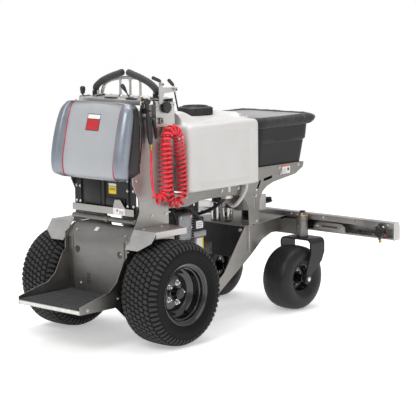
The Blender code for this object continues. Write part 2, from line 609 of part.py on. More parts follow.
def spinner():
    """Spreading disc with four fins on the motor's shaft, the motor, and the gate over it."""
    disc = place("spinner_disc", cylinder_mesh("z", (OUTLET_X, 0, 0), 0.150, SPINNER_Z - 0.004, SPINNER_Z, steps=36),
                 BLACK_PLASTIC, (OUTLET_X, 0, SPINNER_Z))
    join(disc, cylinder_mesh("z", (OUTLET_X, 0, 0), 0.022, SPINNER_Z - 0.008, SPINNER_Z + 0.026, steps=16))
    for k in range(4):
        fin = box_mesh((0.015, -0.0015, SPINNER_Z - 0.001), (0.145, 0.0015, SPINNER_Z + 0.022))
        fin.transform(Matrix.Translation((OUTLET_X, 0, 0)) @ Matrix.Rotation(math.radians(45 + 90 * k), 4, "Z"))
        join(disc, fin)
    base = DECK_Z + DECK_T + GAP
    motor = place("spinner_motor", cylinder_mesh("z", (OUTLET_X, 0, 0), 0.042, base, 0.618, steps=24, chamfer=0.004),
                  BLACK_PLASTIC)
    join(motor, cylinder_mesh("z", (OUTLET_X, 0, 0), 0.008, 0.61, SPINNER_Z - 0.0085, steps=12))
    low, high = 0.7160, 0.7200
    gate = place("gate_plate", box_mesh((1.060, -0.070, low), (1.182, 0.070, high)), STAINLESS, (OUTLET_X, 0, high))
    join(gate, box_mesh((1.180, -0.012, low), (1.232, 0.012, high)),
         box_mesh((1.228, -0.012, 0.6980), (1.232, 0.012, high - 0.001)))


# ---- Spray parts -----------------------------------------------------------------------------------
def boom():
    """Formed channel open to the rear, with closed ends, and the two outer nozzle turrets."""
    back, front = BOOM_X, 1.348
    low, high = BOOM_Z
    t = 0.004
    outline = [(back, low), (front, low), (front, high), (back, high), (back, high - 0.035),
               (back + t, high - 0.035), (back + t, high - t), (front - t, high - t), (front - t, low + t),
               (back + t, low + t), (back + t, low + 0.010), (back, low + 0.010)]
    channel = place("spray_boom", prism_mesh(outline, "y", -BOOM_HALF, BOOM_HALF), STAINLESS)
    cap = [(back - 0.004, low - 0.002), (front + 0.002, low - 0.002), (front + 0.002, 0.548), (front - 0.014, high + 0.003),
           (back - 0.004, high + 0.003)]
    for y in (-BOOM_HALF - 0.004, BOOM_HALF - 0.002):
        join(channel, prism_mesh(cap, "y", y, y + 0.006))
    for side, sign in sides():
        y = sign * NOZZLE_Y
        turret = cylinder_mesh("x", (0, y, 0.512), 0.036, 1.252, 1.2945, steps=12, chamfer=0.006)
        turret = place(f"nozzle_{side}", turret, BLACK_PLASTIC)
        join(turret, cylinder_mesh("z", (1.274, y, 0), 0.011, 0.54, 0.566, steps=8),
             cylinder_mesh("z", (1.274, y, 0), 0.014, 0.452, 0.485, steps=10, chamfer=0.003))


def line_filter():
    """In-line filter bowl on the deck and the suction hose that leads to it from the tank."""
    base = DECK_Z + DECK_T + GAP
    bowl = cylinder_mesh("z", (0.875, -0.050, 0), 0.033, base, 0.632, steps=22, chamfer=0.005)
    bowl = place("line_filter", bowl, WHITE_PLASTIC)
    join(bowl, cylinder_mesh("z", (0.875, -0.050, 0), 0.014, 0.62, 0.655, steps=12))
    route = [(0.790, -0.272, 0.8035), (0.788, -0.272, 0.775), (0.765, -0.270, 0.735), (0.735, -0.262, 0.700),
             (0.735, -0.225, 0.672), (0.780, -0.150, 0.672), (0.840, -0.085, 0.690), (0.872, -0.055, 0.682),
             (0.875, -0.050, 0.6590)]
    hose = pipe_mesh(smooth_path(route, 22), 0.0105, 8)
    place("suction_hose", hose, CLEAR_HOSE)


COIL_ROUTE = [
    (0.118, -0.287, 1.118), (0.116, -0.287, 1.060), (0.114, -0.287, 0.980), (0.115, -0.287, 0.880),
    (0.122, -0.288, 0.800), (0.136, -0.290, 0.770), (0.171, -0.294, 0.755), (0.204, -0.298, 0.770),
    (0.213, -0.300, 0.800), (0.211, -0.302, 0.880), (0.200, -0.306, 0.980), (0.182, -0.312, 1.080),
    (0.167, -0.319, 1.132), (0.137, -0.329, 1.166), (0.096, -0.337, 1.175), (0.052, -0.346, 1.152),
    (0.034, -0.352, 1.090), (0.030, -0.353, 0.980), (0.030, -0.353, 0.890), (0.028, -0.352, 0.845),
    (0.008, -0.350, 0.815), (-0.020, -0.348, 0.806), (-0.046, -0.345, 0.818), (-0.056, -0.342, 0.846),
]
TAIL_ROUTE = [
    (-0.0575, -0.3415, 0.8475), (-0.059, -0.338, 0.870), (-0.051, -0.325, 0.920), (-0.033, -0.302, 0.990),
    (-0.012, -0.284, 1.040), (-0.005, -0.278, 1.0665),
]


def coiled_hose():
    """The coiled hose as one fat tube of its outer diameter, and its straight end up to the gun."""
    path = smooth_path(COIL_ROUTE, 46)
    place("hose_coil", pipe_mesh(path, COIL_R, 8), RED_HOSE)
    tail = bpy.data.curves.new("hose_tail", "CURVE")
    tail.dimensions = "3D"
    tail.bevel_depth = 0.006
    tail.bevel_resolution = 2
    tail.use_fill_caps = True
    points = smooth_path(TAIL_ROUTE, 14)
    line = tail.splines.new("POLY")
    line.points.add(len(points) - 1)
    for target, point in zip(line.points, points):
        target.co = (*point, 1)
    tail.materials.append(RED_HOSE)
    made = bpy.data.objects.new("hose_tail", tail)
    made.parent = machine
    scene.collection.objects.link(made)


def spray_gun():
    """Hand gun in its clip on the tower: body, head and brass swivel, with a pivoted trigger."""
    top, foot = Vector((-0.036, -0.276, 1.352)), Vector((-0.005, -0.278, 1.101))
    body = place("spray_gun", pipe_mesh([top, top.lerp(foot, 0.15), top.lerp(foot, 0.5), foot], 0.0105, 12),
                 BLACK_PLASTIC)
    head = cylinder_mesh("x", (0, -0.276, 1.335), 0.014, -0.058, -0.012, steps=14, chamfer=0.003)
    grip = box_mesh((-0.030, -0.2895, 1.120), (0.010, -0.2625, 1.245), 0.008)
    swivel = cylinder_mesh("z", (-0.005, -0.278, 0), 0.0085, 1.0700, 1.105, steps=12, chamfer=0.002)
    clip = box_mesh((-0.046, -0.268, 1.270), (-0.006, -0.2505, 1.300), 0.002)
    join(body, head, grip, swivel, clip)
    pivot = (0.016, -0.276, 1.2400)
    outline = [(0.011, 1.238), (0.013, 1.247), (0.020, 1.247), (0.027, 1.225), (0.040, 1.170), (0.042, 1.130),
               (0.036, 1.129), (0.031, 1.168), (0.020, 1.215)]
    place("gun_trigger", prism_mesh(outline, "y", -0.283, -0.269), BLACK_PLASTIC, pivot)


# ---- Operator's station ----------------------------------------------------------------------------
def console():
    """Console top, the control box with its fittings and bracket, and the reference bar on its posts."""
    t, lip = 0.004, 1.3160
    outline = [(-0.058, lip), (-0.054, lip), (-0.054, CONSOLE_Z - t), (0.200, CONSOLE_Z - t), (0.200, lip),
               (0.204, lip), (0.204, CONSOLE_Z), (-0.058, CONSOLE_Z)]
    top = place("console_top", prism_mesh(outline, "y", -0.2500, 0.3000), STAINLESS)
    cut(top, prism_mesh([(-0.070, 0.238), (-0.054, 0.238), (-0.002, 0.292), (-0.002, 0.310), (-0.070, 0.310)], "z", 1.30, 1.36))
    for _, sign in sides():
        y = sign * LEVER_Y
        for edge in (-0.020, 0.0165):
            if abs(y + edge) < 0.2480 or sign > 0:
                lug = box_mesh((0.070, y + edge, CONSOLE_Z - 0.001), (0.090, y + edge + 0.0035, 1.374))
                join(top, lug)
    outline = [(0.040, 1.190), (0.187, 1.190), (0.187, 1.316), (0.120, 1.328), (0.040, 1.334)]
    panel = place("control_panel", prism_mesh(outline, "y", -0.2765, -0.2505, 0.002), STAINLESS)
    bracket = [(0.060, 1.3165), (0.184, 1.3165), (0.184, 1.3200), (0.088, 1.333), (0.098, 1.375), (0.195, 1.378),
               (0.195, 1.402), (0.088, 1.408), (0.084, 1.435), (0.062, 1.435)]
    fitting = cylinder_mesh("z", (0.118, -0.2635, 0), 0.0095, 1.1600, 1.195, steps=12, chamfer=0.002)
    sleeve = pipe_mesh(smooth_path([(0.118, -0.2635, 1.165), (0.118, -0.266, 1.152), (0.118, -0.280, 1.136),
                                    (0.118, -0.286, 1.1260)], 7), 0.0065, 8)
    rod = pipe_mesh([(0.190, -0.281, 1.394), (0.225, -0.262, 1.384), (0.252, -0.215, 1.372), (0.284, -0.210, 1.270)],
                    0.0030, 8)
    join(panel, prism_mesh(bracket, "y", -0.2840, -0.2780), box_mesh((0.066, -0.2800, 1.3165), (0.178, -0.2750, 1.3200)),
         fitting, sleeve, box_mesh((0.050, -0.2900, 1.210), (0.082, -0.2750, 1.240), 0.002), rod)
    x = 0.118
    hoop = [(x, 0.230, CONSOLE_Z + 0.0015), (x, 0.227, 1.369), (x, 0.206, 1.405), (x, 0.160, 1.431), (x, 0.080, 1.447),
            (x, 0.0, 1.452)]
    route = hoop + [(px, -py, pz) for px, py, pz in hoop[-2::-1]]
    bar = place("reference_bar", pipe_mesh(smooth_path(route, 23), 0.010, 8), STAINLESS)
    for y, height in ((-0.080, 1.444), (0.0, 1.450), (0.080, 1.444)):
        join(bar, cylinder_mesh("z", (x, y, 0), 0.0075, CONSOLE_Z + GAP, height, steps=10))


def pad():
    """Thigh pad with its rolled side bolsters, a plain soft solid, and the moulded shell behind it."""
    def section(z, centre, roll, half, radius):
        """Level outline: a flat middle and round side bolsters, closed across the front."""
        left = arc((roll, half - radius), radius, 62, 205, 7)
        right = [(x, -y) for x, y in left[::-1]]
        return [(x, y, z) for x, y in left + [(centre, 0.195), (centre, -0.195)] + right]
    levels = [(0.914, -0.200, -0.190, 0.268, 0.024), (0.935, -0.222, -0.207, 0.288, 0.038),
              (1.000, -0.226, -0.211, 0.293, 0.045), (1.090, -0.211, -0.197, 0.294, 0.046),
              (1.200, -0.186, -0.172, 0.288, 0.044), (1.285, -0.160, -0.148, 0.274, 0.036),
              (1.326, -0.136, -0.132, 0.247, 0.022)]
    place("thigh_pad", loft_mesh([section(*level) for level in levels]), VINYL)
    shell_levels = [(0.9325, -0.1860, -0.1005, 0.250, 0.020), (0.950, -0.1875, -0.082, 0.279, 0.035),
                    (1.000, -0.1880, -0.081, 0.285, 0.035), (1.090, -0.1735, -0.078, 0.287, 0.035),
                    (1.200, -0.1495, -0.0745, 0.281, 0.030), (1.285, -0.1295, -0.0705, 0.266, 0.025),
                    (1.318, -0.1215, -0.067, 0.235, 0.020)]
    rings = []
    for z, rear, front, half, radius in shell_levels:
        rings.append([(x, y, z) for x, y in rounded_rectangle((rear, -half), (front, half),
                                                              min(radius, (front - rear) / 2 - 0.001), 3)])
    place("pad_shell", loft_mesh(rings), BLACK_PLASTIC)


def steering_lever(name, sign):
    """Bent steering lever with a foam grip, turning on a cross pin between the console's lugs."""
    x, z = LEVER_PIVOT
    y = sign * LEVER_Y
    grip = [(x, y, 1.378), (x, sign * 0.2400, 1.390), (x, sign * 0.2185, 1.409), (x, sign * 0.1775, 1.4345), (x, sign * 0.112, 1.4595),
            (x, sign * 0.022, 1.4855)]
    lever = place(name, pipe_mesh(smooth_path(grip, 15), 0.0195, 10), FOAM, (x, y, z))
    boss = cylinder_mesh("y", (x, y, z), 0.0125, -0.0160, 0.0160, steps=14)
    join(lever, boss, cylinder_mesh("z", (x, y, 0), 0.0115, z, 1.396, steps=12))


def control_levers():
    """Throttle, spreader lever, two boom valve levers and the pressure knob."""
    stem = pipe_mesh([(0.050, -0.057, CONSOLE_Z + 0.0070), (0.046, -0.042, 1.372), (0.042, -0.026, 1.396)], 0.0065, 8)
    throttle = place("throttle_lever", stem, BLACK_PLASTIC, (0.050, -0.056, CONSOLE_Z + 0.009))
    join(throttle, pipe_mesh([(0.043, -0.034, 1.385), (0.041, -0.022, 1.402), (0.040, -0.012, 1.414)], 0.0115, 10))
    grip = cylinder_mesh("z", (0.005, 0.272, 0), 0.0165, 1.366, 1.400, steps=16, chamfer=0.006)
    spreader = place("spreader_lever", grip, BLACK_PLASTIC, (0.005, 0.272, CONSOLE_Z + 0.009))
    join(spreader, cylinder_mesh("z", (0.005, 0.272, 0), 0.006, CONSOLE_Z + 0.0035, 1.370, steps=10))
    valves = (("a", (0.073, 1.425), (0.058, 1.4435), (0.000, 1.4660)), ("b", (0.178, 1.392), (0.160, 1.4160), (0.124, 1.4470)))
    for tag, (x, z), root, tip in valves:
        y = -0.2945
        arm = pipe_mesh([(x, y, z), (root[0], y, root[1]), (root[0] * 0.8 + tip[0] * 0.2, y, root[1] * 0.8 + tip[1] * 0.2)],
                        0.005, 8)
        lever = place(f"boom_valve_lever_{tag}", arm, BLACK_PLASTIC, (x, y, z))
        join(lever, pipe_mesh([(root[0], y, root[1]), (tip[0], y, tip[1])], 0.0098, 10),
             cylinder_mesh("y", (x, y, z), 0.009, -0.0070, 0.0100, steps=12))
    profile = [(-0.3000, 0), (-0.3000, 0.026), (-0.297, 0.0325), (-0.2870, 0.0335), (-0.284, 0.028), (-0.284, 0.014),
               (-0.2768, 0.014), (-0.2768, 0)]
    place("pressure_knob", turned_mesh(profile, "y", (0.112, 0, 1.2965), 20), BLACK_PLASTIC, (0.112, -0.2768, 1.2965))


# ---- Build -----------------------------------------------------------------------------------------
for side_name, side_sign in sides():
    side_frame(f"side_frame_{side_name}", side_sign)
    fender(f"fender_{side_name}", side_sign)
    console_side(f"console_side_{side_name}", side_sign)
    support_plate(f"support_plate_{side_name}", side_sign)
    transaxle(f"transaxle_{side_name}", side_sign)
    rear_wheel(side_name, side_sign)
    caster(side_name, side_sign)
    steering_lever(f"steering_lever_{side_name}", side_sign)
rear_cover()
operator_platform()
cross_members()
front_frame()
bulkhead()
engine()
liquid_tank()
tank_cap()
hopper()
hopper_cover()
hopper_tray()
spinner()
boom()
line_filter()
coiled_hose()
spray_gun()
console()
pad()
control_levers()
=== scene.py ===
import json
import math

import bmesh
import bpy
from mathutils import Matrix, Vector, noise


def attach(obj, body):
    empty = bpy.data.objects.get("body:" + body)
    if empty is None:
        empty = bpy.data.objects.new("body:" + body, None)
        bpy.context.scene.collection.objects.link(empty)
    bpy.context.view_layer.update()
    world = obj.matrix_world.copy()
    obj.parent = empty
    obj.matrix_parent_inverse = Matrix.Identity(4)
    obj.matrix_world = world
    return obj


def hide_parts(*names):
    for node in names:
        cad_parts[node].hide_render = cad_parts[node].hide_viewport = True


# The looks of a stand-on spreader-sprayer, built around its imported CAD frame. Metres, +X forward, +Z up.
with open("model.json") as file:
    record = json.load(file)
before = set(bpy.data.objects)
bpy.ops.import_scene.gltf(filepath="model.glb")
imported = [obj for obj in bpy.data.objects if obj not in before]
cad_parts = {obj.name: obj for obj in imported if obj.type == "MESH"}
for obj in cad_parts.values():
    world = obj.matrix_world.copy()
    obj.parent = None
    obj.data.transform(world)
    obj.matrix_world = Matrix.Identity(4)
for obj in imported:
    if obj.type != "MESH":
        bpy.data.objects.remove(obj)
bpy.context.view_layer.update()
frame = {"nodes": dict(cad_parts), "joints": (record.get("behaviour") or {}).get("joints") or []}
JOINT = {j["name"]: j for j in frame["joints"]}
AX = JOINT["rear_wheel_left_spin"]["pos_m"][0]   # the rear axle; every X below is measured from it
TAU = math.tau
scene = bpy.context.scene

# ---- Camera -------------------------------------------------------------------------------------
YAW, PITCH, ROLL = math.radians(42.58), math.radians(-8.32), math.radians(-0.63)
look = Vector((math.cos(PITCH) * math.cos(YAW), math.cos(PITCH) * math.sin(YAW), math.sin(PITCH)))
side = look.cross(Vector((0, 0, 1))).normalized()
over = side.cross(look)
right = side * math.cos(ROLL) + over * math.sin(ROLL)
up = over * math.cos(ROLL) - side * math.sin(ROLL)
CAMERA_AT = (-6.065 + AX, -6.265, 1.99)
IMAGE_WIDTH_PX, FOCAL_LENGTH_PX, SENSOR_MM = 416, 1560.2, 36
camera = bpy.data.objects.new("camera", bpy.data.cameras.new("camera"))
camera.matrix_world = Matrix.Translation(CAMERA_AT) @ Matrix((right, up, -look)).transposed().to_4x4()
camera.data.sensor_width = SENSOR_MM
camera.data.lens = SENSOR_MM * FOCAL_LENGTH_PX / IMAGE_WIDTH_PX
camera.data.clip_end = 100
scene.collection.objects.link(camera)
scene.camera = camera


# ---- Mesh helpers -------------------------------------------------------------------------------
def to_mesh(bm):
    bmesh.ops.recalc_face_normals(bm, faces=bm.faces)
    mesh = bpy.data.meshes.new("part")
    bm.to_mesh(mesh)
    bm.free()
    return mesh


AXES = {"x": (1, 2, 0), "y": (0, 2, 1), "z": (0, 1, 2)}


def box(low, high, bevel=0.001, segments=2):
    bm = bmesh.new()
    size = [b - a for a, b in zip(low, high)]
    middle = [(a + b) / 2 for a, b in zip(low, high)]
    bmesh.ops.create_cube(bm, size=1, matrix=Matrix.Translation(middle) @ Matrix.Diagonal((*size, 1)))
    bevel = min(bevel, 0.49 * min(size))
    if bevel:
        bmesh.ops.bevel(bm, geom=bm.edges[:], offset=bevel, segments=segments, affect="EDGES", profile=0.5)
    return to_mesh(bm)


def prism(outline, axis, start, end, bevel=0.0008, segments=2):
    u, v, w = AXES[axis]
    bm = bmesh.new()
    ring = []
    for a, b in outline:
        p = [0.0, 0.0, 0.0]
        p[u], p[v], p[w] = a, b, start
        ring.append(bm.verts.new(p))
    face = bm.faces.new(ring)
    grown = bmesh.ops.extrude_face_region(bm, geom=[face])
    step = [0.0, 0.0, 0.0]
    step[w] = end - start
    bmesh.ops.translate(bm, verts=[g for g in grown["geom"] if isinstance(g, bmesh.types.BMVert)], vec=step)
    bmesh.ops.recalc_face_normals(bm, faces=bm.faces)
    if bevel:
        edges = [e for e in bm.edges if len(e.link_faces) == 2 and e.calc_face_angle() > 0.5]
        bmesh.ops.bevel(bm, geom=edges, offset=bevel, segments=segments, affect="EDGES", profile=0.5)
    return to_mesh(bm)


def turned(profile, axis, centre, steps=48, closed=False):
    """A profile of (position along the axis, radius) turned about the axis."""
    u, v, w = AXES[axis]
    bm = bmesh.new()
    rings = []
    for a, r in profile:
        if r < 1e-6:
            p = list(centre)
            p[w] += a
            rings.append([bm.verts.new(p)])
            continue
        ring = []
        for k in range(steps):
            t = TAU * k / steps
            p = list(centre)
            p[u] += r * math.sin(t)
            p[v] += r * math.cos(t)
            p[w] += a
            ring.append(bm.verts.new(p))
        rings.append(ring)
    pairs = list(zip(rings, rings[1:])) + ([(rings[-1], rings[0])] if closed else [])
    for a, b in pairs:
        for k in range(steps):
            j = (k + 1) % steps
            if len(a) == 1 and len(b) == 1:
                continue
            if len(a) == 1:
                bm.faces.new((a[0], b[k], b[j]))
            elif len(b) == 1:
                bm.faces.new((a[k], a[j], b[0]))
            else:
                bm.faces.new((a[k], a[j], b[j], b[k]))
    if not closed:
        for ring in (rings[0], rings[-1]):
            if len(ring) > 1:
                bm.faces.new(ring)
    return to_mesh(bm)


def rod(axis, centre, radius, start, end, steps=24, chamfer=0.001):
    c = min(chamfer, 0.45 * radius, 0.45 * abs(end - start))
    return turned([(start, 0), (start, radius - c), (start + c, radius), (end - c, radius),
            (end, radius - c), (end, 0)], axis, centre, steps)


def loft(rings, capped=True):
    bm = bmesh.new()
    levels = [[bm.verts.new(p) for p in ring] for ring in rings]
    for a, b in zip(levels, levels[1:]):
        for i in range(len(a)):
            j = (i + 1) % len(a)
            bm.faces.new((a[i], a[j], b[j], b[i]))
    if capped:
        bm.faces.new(levels[0][::-1])
        bm.faces.new(levels[-1])
    return to_mesh(bm)


def spline(points, count):
    """A Catmull-Rom curve through the points, sampled evenly along its length."""
    points = [Vector(p) for p in points]
    padded = [2 * points[0] - points[1], *points, 2 * points[-1] - points[-2]]
    spans = len(points) - 1
    fine = []
    for i in range(spans * 24 + 1):
        t = i / 24
        k = min(int(t), spans - 1)
        t -= k
        a, b, c, d = padded[k:k + 4]
        fine.append(0.5 * ((2 * b) + (c - a) * t + (2 * a - 5 * b + 4 * c - d) * t * t
                + (3 * b - a - 3 * c + d) * t ** 3))
    run = [0.0]
    for a, b in zip(fine, fine[1:]):
        run.append(run[-1] + (b - a).length)
    made, k = [], 0
    for i in range(count):
        want = run[-1] * i / (count - 1)
        while k < len(run) - 2 and run[k + 1] < want:
            k += 1
        f = (want - run[k]) / max(run[k + 1] - run[k], 1e-9)
        made.append(fine[k].lerp(fine[k + 1], f))
    return made


def frames(points):
    """Direction and two square directions at each point, carried along without twist."""
    made, lift = [], None
    for i, point in enumerate(points):
        ahead = (points[min(i + 1, len(points) - 1)] - points[max(i - 1, 0)]).normalized()
        if lift is None:
            lift = ahead.orthogonal().normalized()
        lift = (lift - ahead * lift.dot(ahead)).normalized()
        made.append((ahead, lift, ahead.cross(lift)))
    return made


def tube(points, radius, sides=16, cap=True):
    """A round bar along the points. radius is a number or one number for each point; its ends are domed."""
    points = [Vector(p) for p in points]
    radii = list(radius) if hasattr(radius, "__len__") else [radius] * len(points)
    turns = [TAU * k / sides for k in range(sides)]
    rings = []
    for point, r, (ahead, lift, across) in zip(points, radii, frames(points)):
        rings.append([point + r * (math.cos(t) * lift + math.sin(t) * across) for t in turns])
    if cap:
        head = dome(rings[0], points[0], (points[0] - points[1]).normalized(), radii[0])
        tail = dome(rings[-1], points[-1], (points[-1] - points[-2]).normalized(), radii[-1])
        rings = head[::-1] + rings + tail
    return loft(rings)


def dome(ring, centre, out, r):
    return [[centre + (p - centre) * share + out * r * reach for p in ring] for share,
            reach in ((0.8, 0.2), (0.45, 0.3))]


def bolt(centre, out, radius=0.008, height=0.006, washer=True):
    """A hexagon bolt head on its washer."""
    bm = bmesh.new()
    if washer:
        bmesh.ops.create_cone(bm, cap_ends=True, segments=20, radius1=radius * 1.55, radius2=radius * 1.5,
                depth=0.0016, matrix=Matrix.Translation((0, 0, 0.0008)))
    bmesh.ops.create_cone(bm, cap_ends=True, segments=6, radius1=radius, radius2=radius, depth=height,
            matrix=Matrix.Translation((0, 0, 0.0016 + height / 2)))
    bmesh.ops.create_cone(bm, cap_ends=True, segments=12, radius1=radius * 0.8, radius2=radius * 0.55,
            depth=0.0012, matrix=Matrix.Translation((0, 0, 0.0022 + height)))
    turn = Vector((0, 0, 1)).rotation_difference(Vector(out).normalized()).to_matrix().to_4x4()
    bmesh.ops.transform(bm, matrix=Matrix.Translation(centre) @ turn, verts=bm.verts)
    return to_mesh(bm)


def arc(centre, radius, start, end, count):
    return [(centre[0] + radius * math.cos(math.radians(start + (end - start) * i / (count - 1))),
            centre[1] + radius * math.sin(math.radians(start + (end - start) * i / (count - 1))))
            for i in range(count)]


def rounded(low, high, radius, count=8):
    (x0, y0), (x1, y1) = low, high
    r = radius
    return (arc((x1 - r, y0 + r), r, -90, 0, count) + arc((x1 - r, y1 - r), r, 0, 90,
            count) + arc((x0 + r, y1 - r), r, 90, 180, count) + arc((x0 + r, y0 + r), r, 180, 270, count))


def smooth(x):
    x = min(1.0, max(0.0, x))
    return x * x * (3 - 2 * x)


class Build:
    """Collects shapes, each with its material, into one piece."""

    def __init__(self, name):
        self.name, self.bm, self.mats = name, bmesh.new(), []

    def add(self, mat, *meshes, matrix=None):
        if mat not in self.mats:
            self.mats.append(mat)
        k = self.mats.index(mat)
        for mesh in meshes:
            if matrix is not None:
                mesh.transform(matrix)
            start = len(self.bm.faces)
            self.bm.from_mesh(mesh)
            self.bm.faces.ensure_lookup_table()
            for f in self.bm.faces[start:]:
                f.material_index = k
            bpy.data.meshes.remove(mesh)
        return self

    def bolt(self, *shape):
        return self.add(BRIGHT, bolt(*shape))

    def done(self, body, *nodes, angle=35):
        mesh = bpy.data.meshes.new(self.name)
        self.bm.to_mesh(mesh)
        self.bm.free()
        mesh.transform(Matrix.Translation((AX, 0, 0)))
        for m in self.mats:
            mesh.materials.append(m)
        mesh.shade_smooth()
        mesh.set_sharp_from_angle(angle=math.radians(angle))
        made = bpy.data.objects.new(self.name, mesh)
        scene.collection.objects.link(made)
        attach(made, body)
        if nodes:
            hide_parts(*nodes)
        return made


def both():
    return (("left", 1), ("right", -1))


# ---- Materials ----------------------------------------------------------------------------------
def material(name, colour, tint, rough, metal=0.0, size=6.0, stretch=(1, 1, 1), spread=0.18,
        rough_vary=0.08, bump=0.0, grain=400.0, grain_stretch=(1, 1, 1), grain_kind="noise", fleck=0.0,
        **sockets):
    """Colour wanders between two tones, roughness with it, and a finer texture stands out as bump."""
    made = bpy.data.materials.new(name)
    made.use_nodes = True
    tree = made.node_tree
    shader = tree.nodes["Principled BSDF"]
    for key, value in sockets.items():
        shader.inputs[key.replace("_", " ")].default_value = value
    shader.inputs["Metallic"].default_value = metal
    new, link = tree.nodes.new, tree.links.new
    place = new("ShaderNodeTexCoord")

    def noise_at(scale, by, detail=5.0, kind="noise"):
        mapping = new("ShaderNodeMapping")
        mapping.inputs["Scale"].default_value = [scale * b for b in by]
        link(place.outputs["Object"], mapping.inputs["Vector"])
        tex = new("ShaderNodeTexNoise" if kind == "noise" else "ShaderNodeTexVoronoi")
        tex.inputs["Scale"].default_value = 1.0
        if kind == "noise":
            tex.inputs["Detail"].default_value = detail
            tex.inputs["Roughness"].default_value = 0.6
        link(mapping.outputs["Vector"], tex.inputs["Vector"])
        return tex

    wander = noise_at(size, stretch)
    ramp = new("ShaderNodeValToRGB")
    ramp.color_ramp.elements[0].position = 0.5 - spread
    ramp.color_ramp.elements[1].position = 0.5 + spread
    ramp.color_ramp.elements[0].color = (*tint, 1)
    ramp.color_ramp.elements[1].color = (*colour, 1)
    link(wander.outputs["Fac"], ramp.inputs["Fac"])
    out = ramp.outputs["Color"]
    if fleck:
        fine = noise_at(grain * 0.5, grain_stretch, 2.0)
        mix = new("ShaderNodeMix")
        mix.data_type, mix.blend_type = "RGBA", "OVERLAY"
        mix.inputs["Factor"].default_value = fleck
        link(out, mix.inputs["A"])
        link(fine.outputs["Fac"], mix.inputs["B"])
        out = mix.outputs["Result"]
    link(out, shader.inputs["Base Color"])
    spread_rough = new("ShaderNodeMapRange")
    spread_rough.inputs["From Min"].default_value = 0.3
    spread_rough.inputs["From Max"].default_value = 0.7
    spread_rough.inputs["To Min"].default_value = max(0.02, rough - rough_vary)
    spread_rough.inputs["To Max"].default_value = min(1.0, rough + rough_vary)
    link(wander.outputs["Fac"], spread_rough.inputs["Value"])
    link(spread_rough.outputs["Result"], shader.inputs["Roughness"])
    if bump:
        fine = noise_at(grain, grain_stretch, 3.0, grain_kind)
        relief = new("ShaderNodeBump")
        relief.inputs["Strength"].default_value = bump
        relief.inputs["Distance"].default_value = 0.0006
        link(fine.outputs[0 if grain_kind == "noise" else "Distance"], relief.inputs["Height"])
        link(relief.outputs["Normal"], shader.inputs["Normal"])
    return made


ALONG_X, ALONG_Y = (0.05, 1, 1), (1, 0.05, 1)   # the way the rolling marks run


def brushed(name, colour, tint, rough, marks, size=5.0, rise=1.6, spread=0.2, vary=0.09, fleck=0.12):
    """Rolled stainless sheet, with fine marks that run one way."""
    return material(name, colour, tint, rough, 1.0, size, (1, 1, rise), spread, vary, 0.1, 500, marks,
            fleck=fleck)


def printed(name, colour, tint, rough=0.45):
    """The smooth face of a label."""
    return material(name, colour, tint, rough, 0.0, 30, bump=0.02)


STEEL = brushed("stainless_rolled", (0.335, 0.322, 0.303), (0.245, 0.234, 0.22), 0.4, ALONG_X)
# Lighter copy of the rolled stainless for the level plates, with the grain run across: painted light on
# their upward faces.
STEEL_CROSS_PAINTED_LIT = brushed("stainless_cross_grain_painted_lit", (0.46, 0.447, 0.43), (0.34, 0.329, 0.315), 0.42, ALONG_Y)
# Lighter copy of the rolled stainless for the console sides: painted light.
STEEL_SIDE_PAINTED_LIT = brushed("stainless_console_side_painted_lit", (0.43, 0.415, 0.395), (0.33, 0.318, 0.302), 0.4, ALONG_X)
# Much lighter copy of the rolled stainless for fenders, boom, console top, control panel and hand rail:
# painted light on faces that catch the lamps.
STEEL_PAINTED_LIT = brushed("stainless_painted_lit", (0.66, 0.645, 0.63), (0.5, 0.488, 0.475), 0.4, ALONG_Y)
# Darker copy of the rolled stainless for the low beam, cross tube and gate plate: painted shade under the
# machine.
STEEL_BEAM_PAINTED_SHADE = brushed("stainless_beam_painted_shade", (0.27, 0.26, 0.245), (0.19, 0.183, 0.172), 0.42, ALONG_Y, fleck=0.14)
STEEL_COVER = brushed("stainless_rear_cover", (0.33, 0.32, 0.307), (0.22, 0.213, 0.205), 0.52, ALONG_Y, 4.5,
        1.4, 0.22, 0.08, 0.14)
BRIGHT = material("bright_steel", (0.66, 0.65, 0.63), (0.5, 0.49, 0.47), 0.24, 1.0, 30, bump=0.05)
DARK_STEEL = material("black_coated_steel", (0.011, 0.011, 0.0115), (0.007, 0.007, 0.007), 0.34, 0.0, 18,
        bump=0.15, grain=700, Specular_IOR_Level=0.35)
GLOSS = material("gloss_black_rim", (0.01, 0.01, 0.011), (0.006, 0.006, 0.006), 0.16, 0.0, 25,
        rough_vary=0.05, bump=0.04, grain=300, Coat_Weight=0.6, Coat_Roughness=0.06)
TYRE = material("turf_tyre_rubber", (0.008, 0.008, 0.0083), (0.005, 0.005, 0.005), 0.58, 0.0, 14, bump=0.3,
        grain=900, fleck=0.2, Specular_IOR_Level=0.15)
LUG = material("turf_lug_rubber", (0.034, 0.034, 0.036), (0.022, 0.022, 0.023), 0.7, 0.0, 14, bump=0.35,
        grain=900, fleck=0.25, Specular_IOR_Level=0.35)
CASTER_RUBBER = material("caster_rubber", (0.011, 0.011, 0.0115), (0.007, 0.007, 0.007), 0.44, 0.0, 10,
        (1, 1, 1), bump=0.2, grain=800, Specular_IOR_Level=0.35)
PLASTIC = material("black_plastic", (0.022, 0.022, 0.024), (0.014, 0.014, 0.015), 0.42, 0.0, 30, bump=0.2,
        grain=900)
SHELL = material("pad_shell_plastic", (0.011, 0.011, 0.012), (0.007, 0.007, 0.0075), 0.34, 0.0, 12,
        bump=0.15, grain=600)
FOAM = material("foam_grip", (0.045, 0.046, 0.05), (0.026, 0.026, 0.029), 0.88, 0.0, 40, bump=0.8,
        grain=1400, fleck=0.3, Sheen_Weight=0.25)
MAT = material("mat_rubber", (0.06, 0.06, 0.063), (0.038, 0.038, 0.04), 0.85, 0.0, 16, bump=0.6, grain=700,
        fleck=0.3)
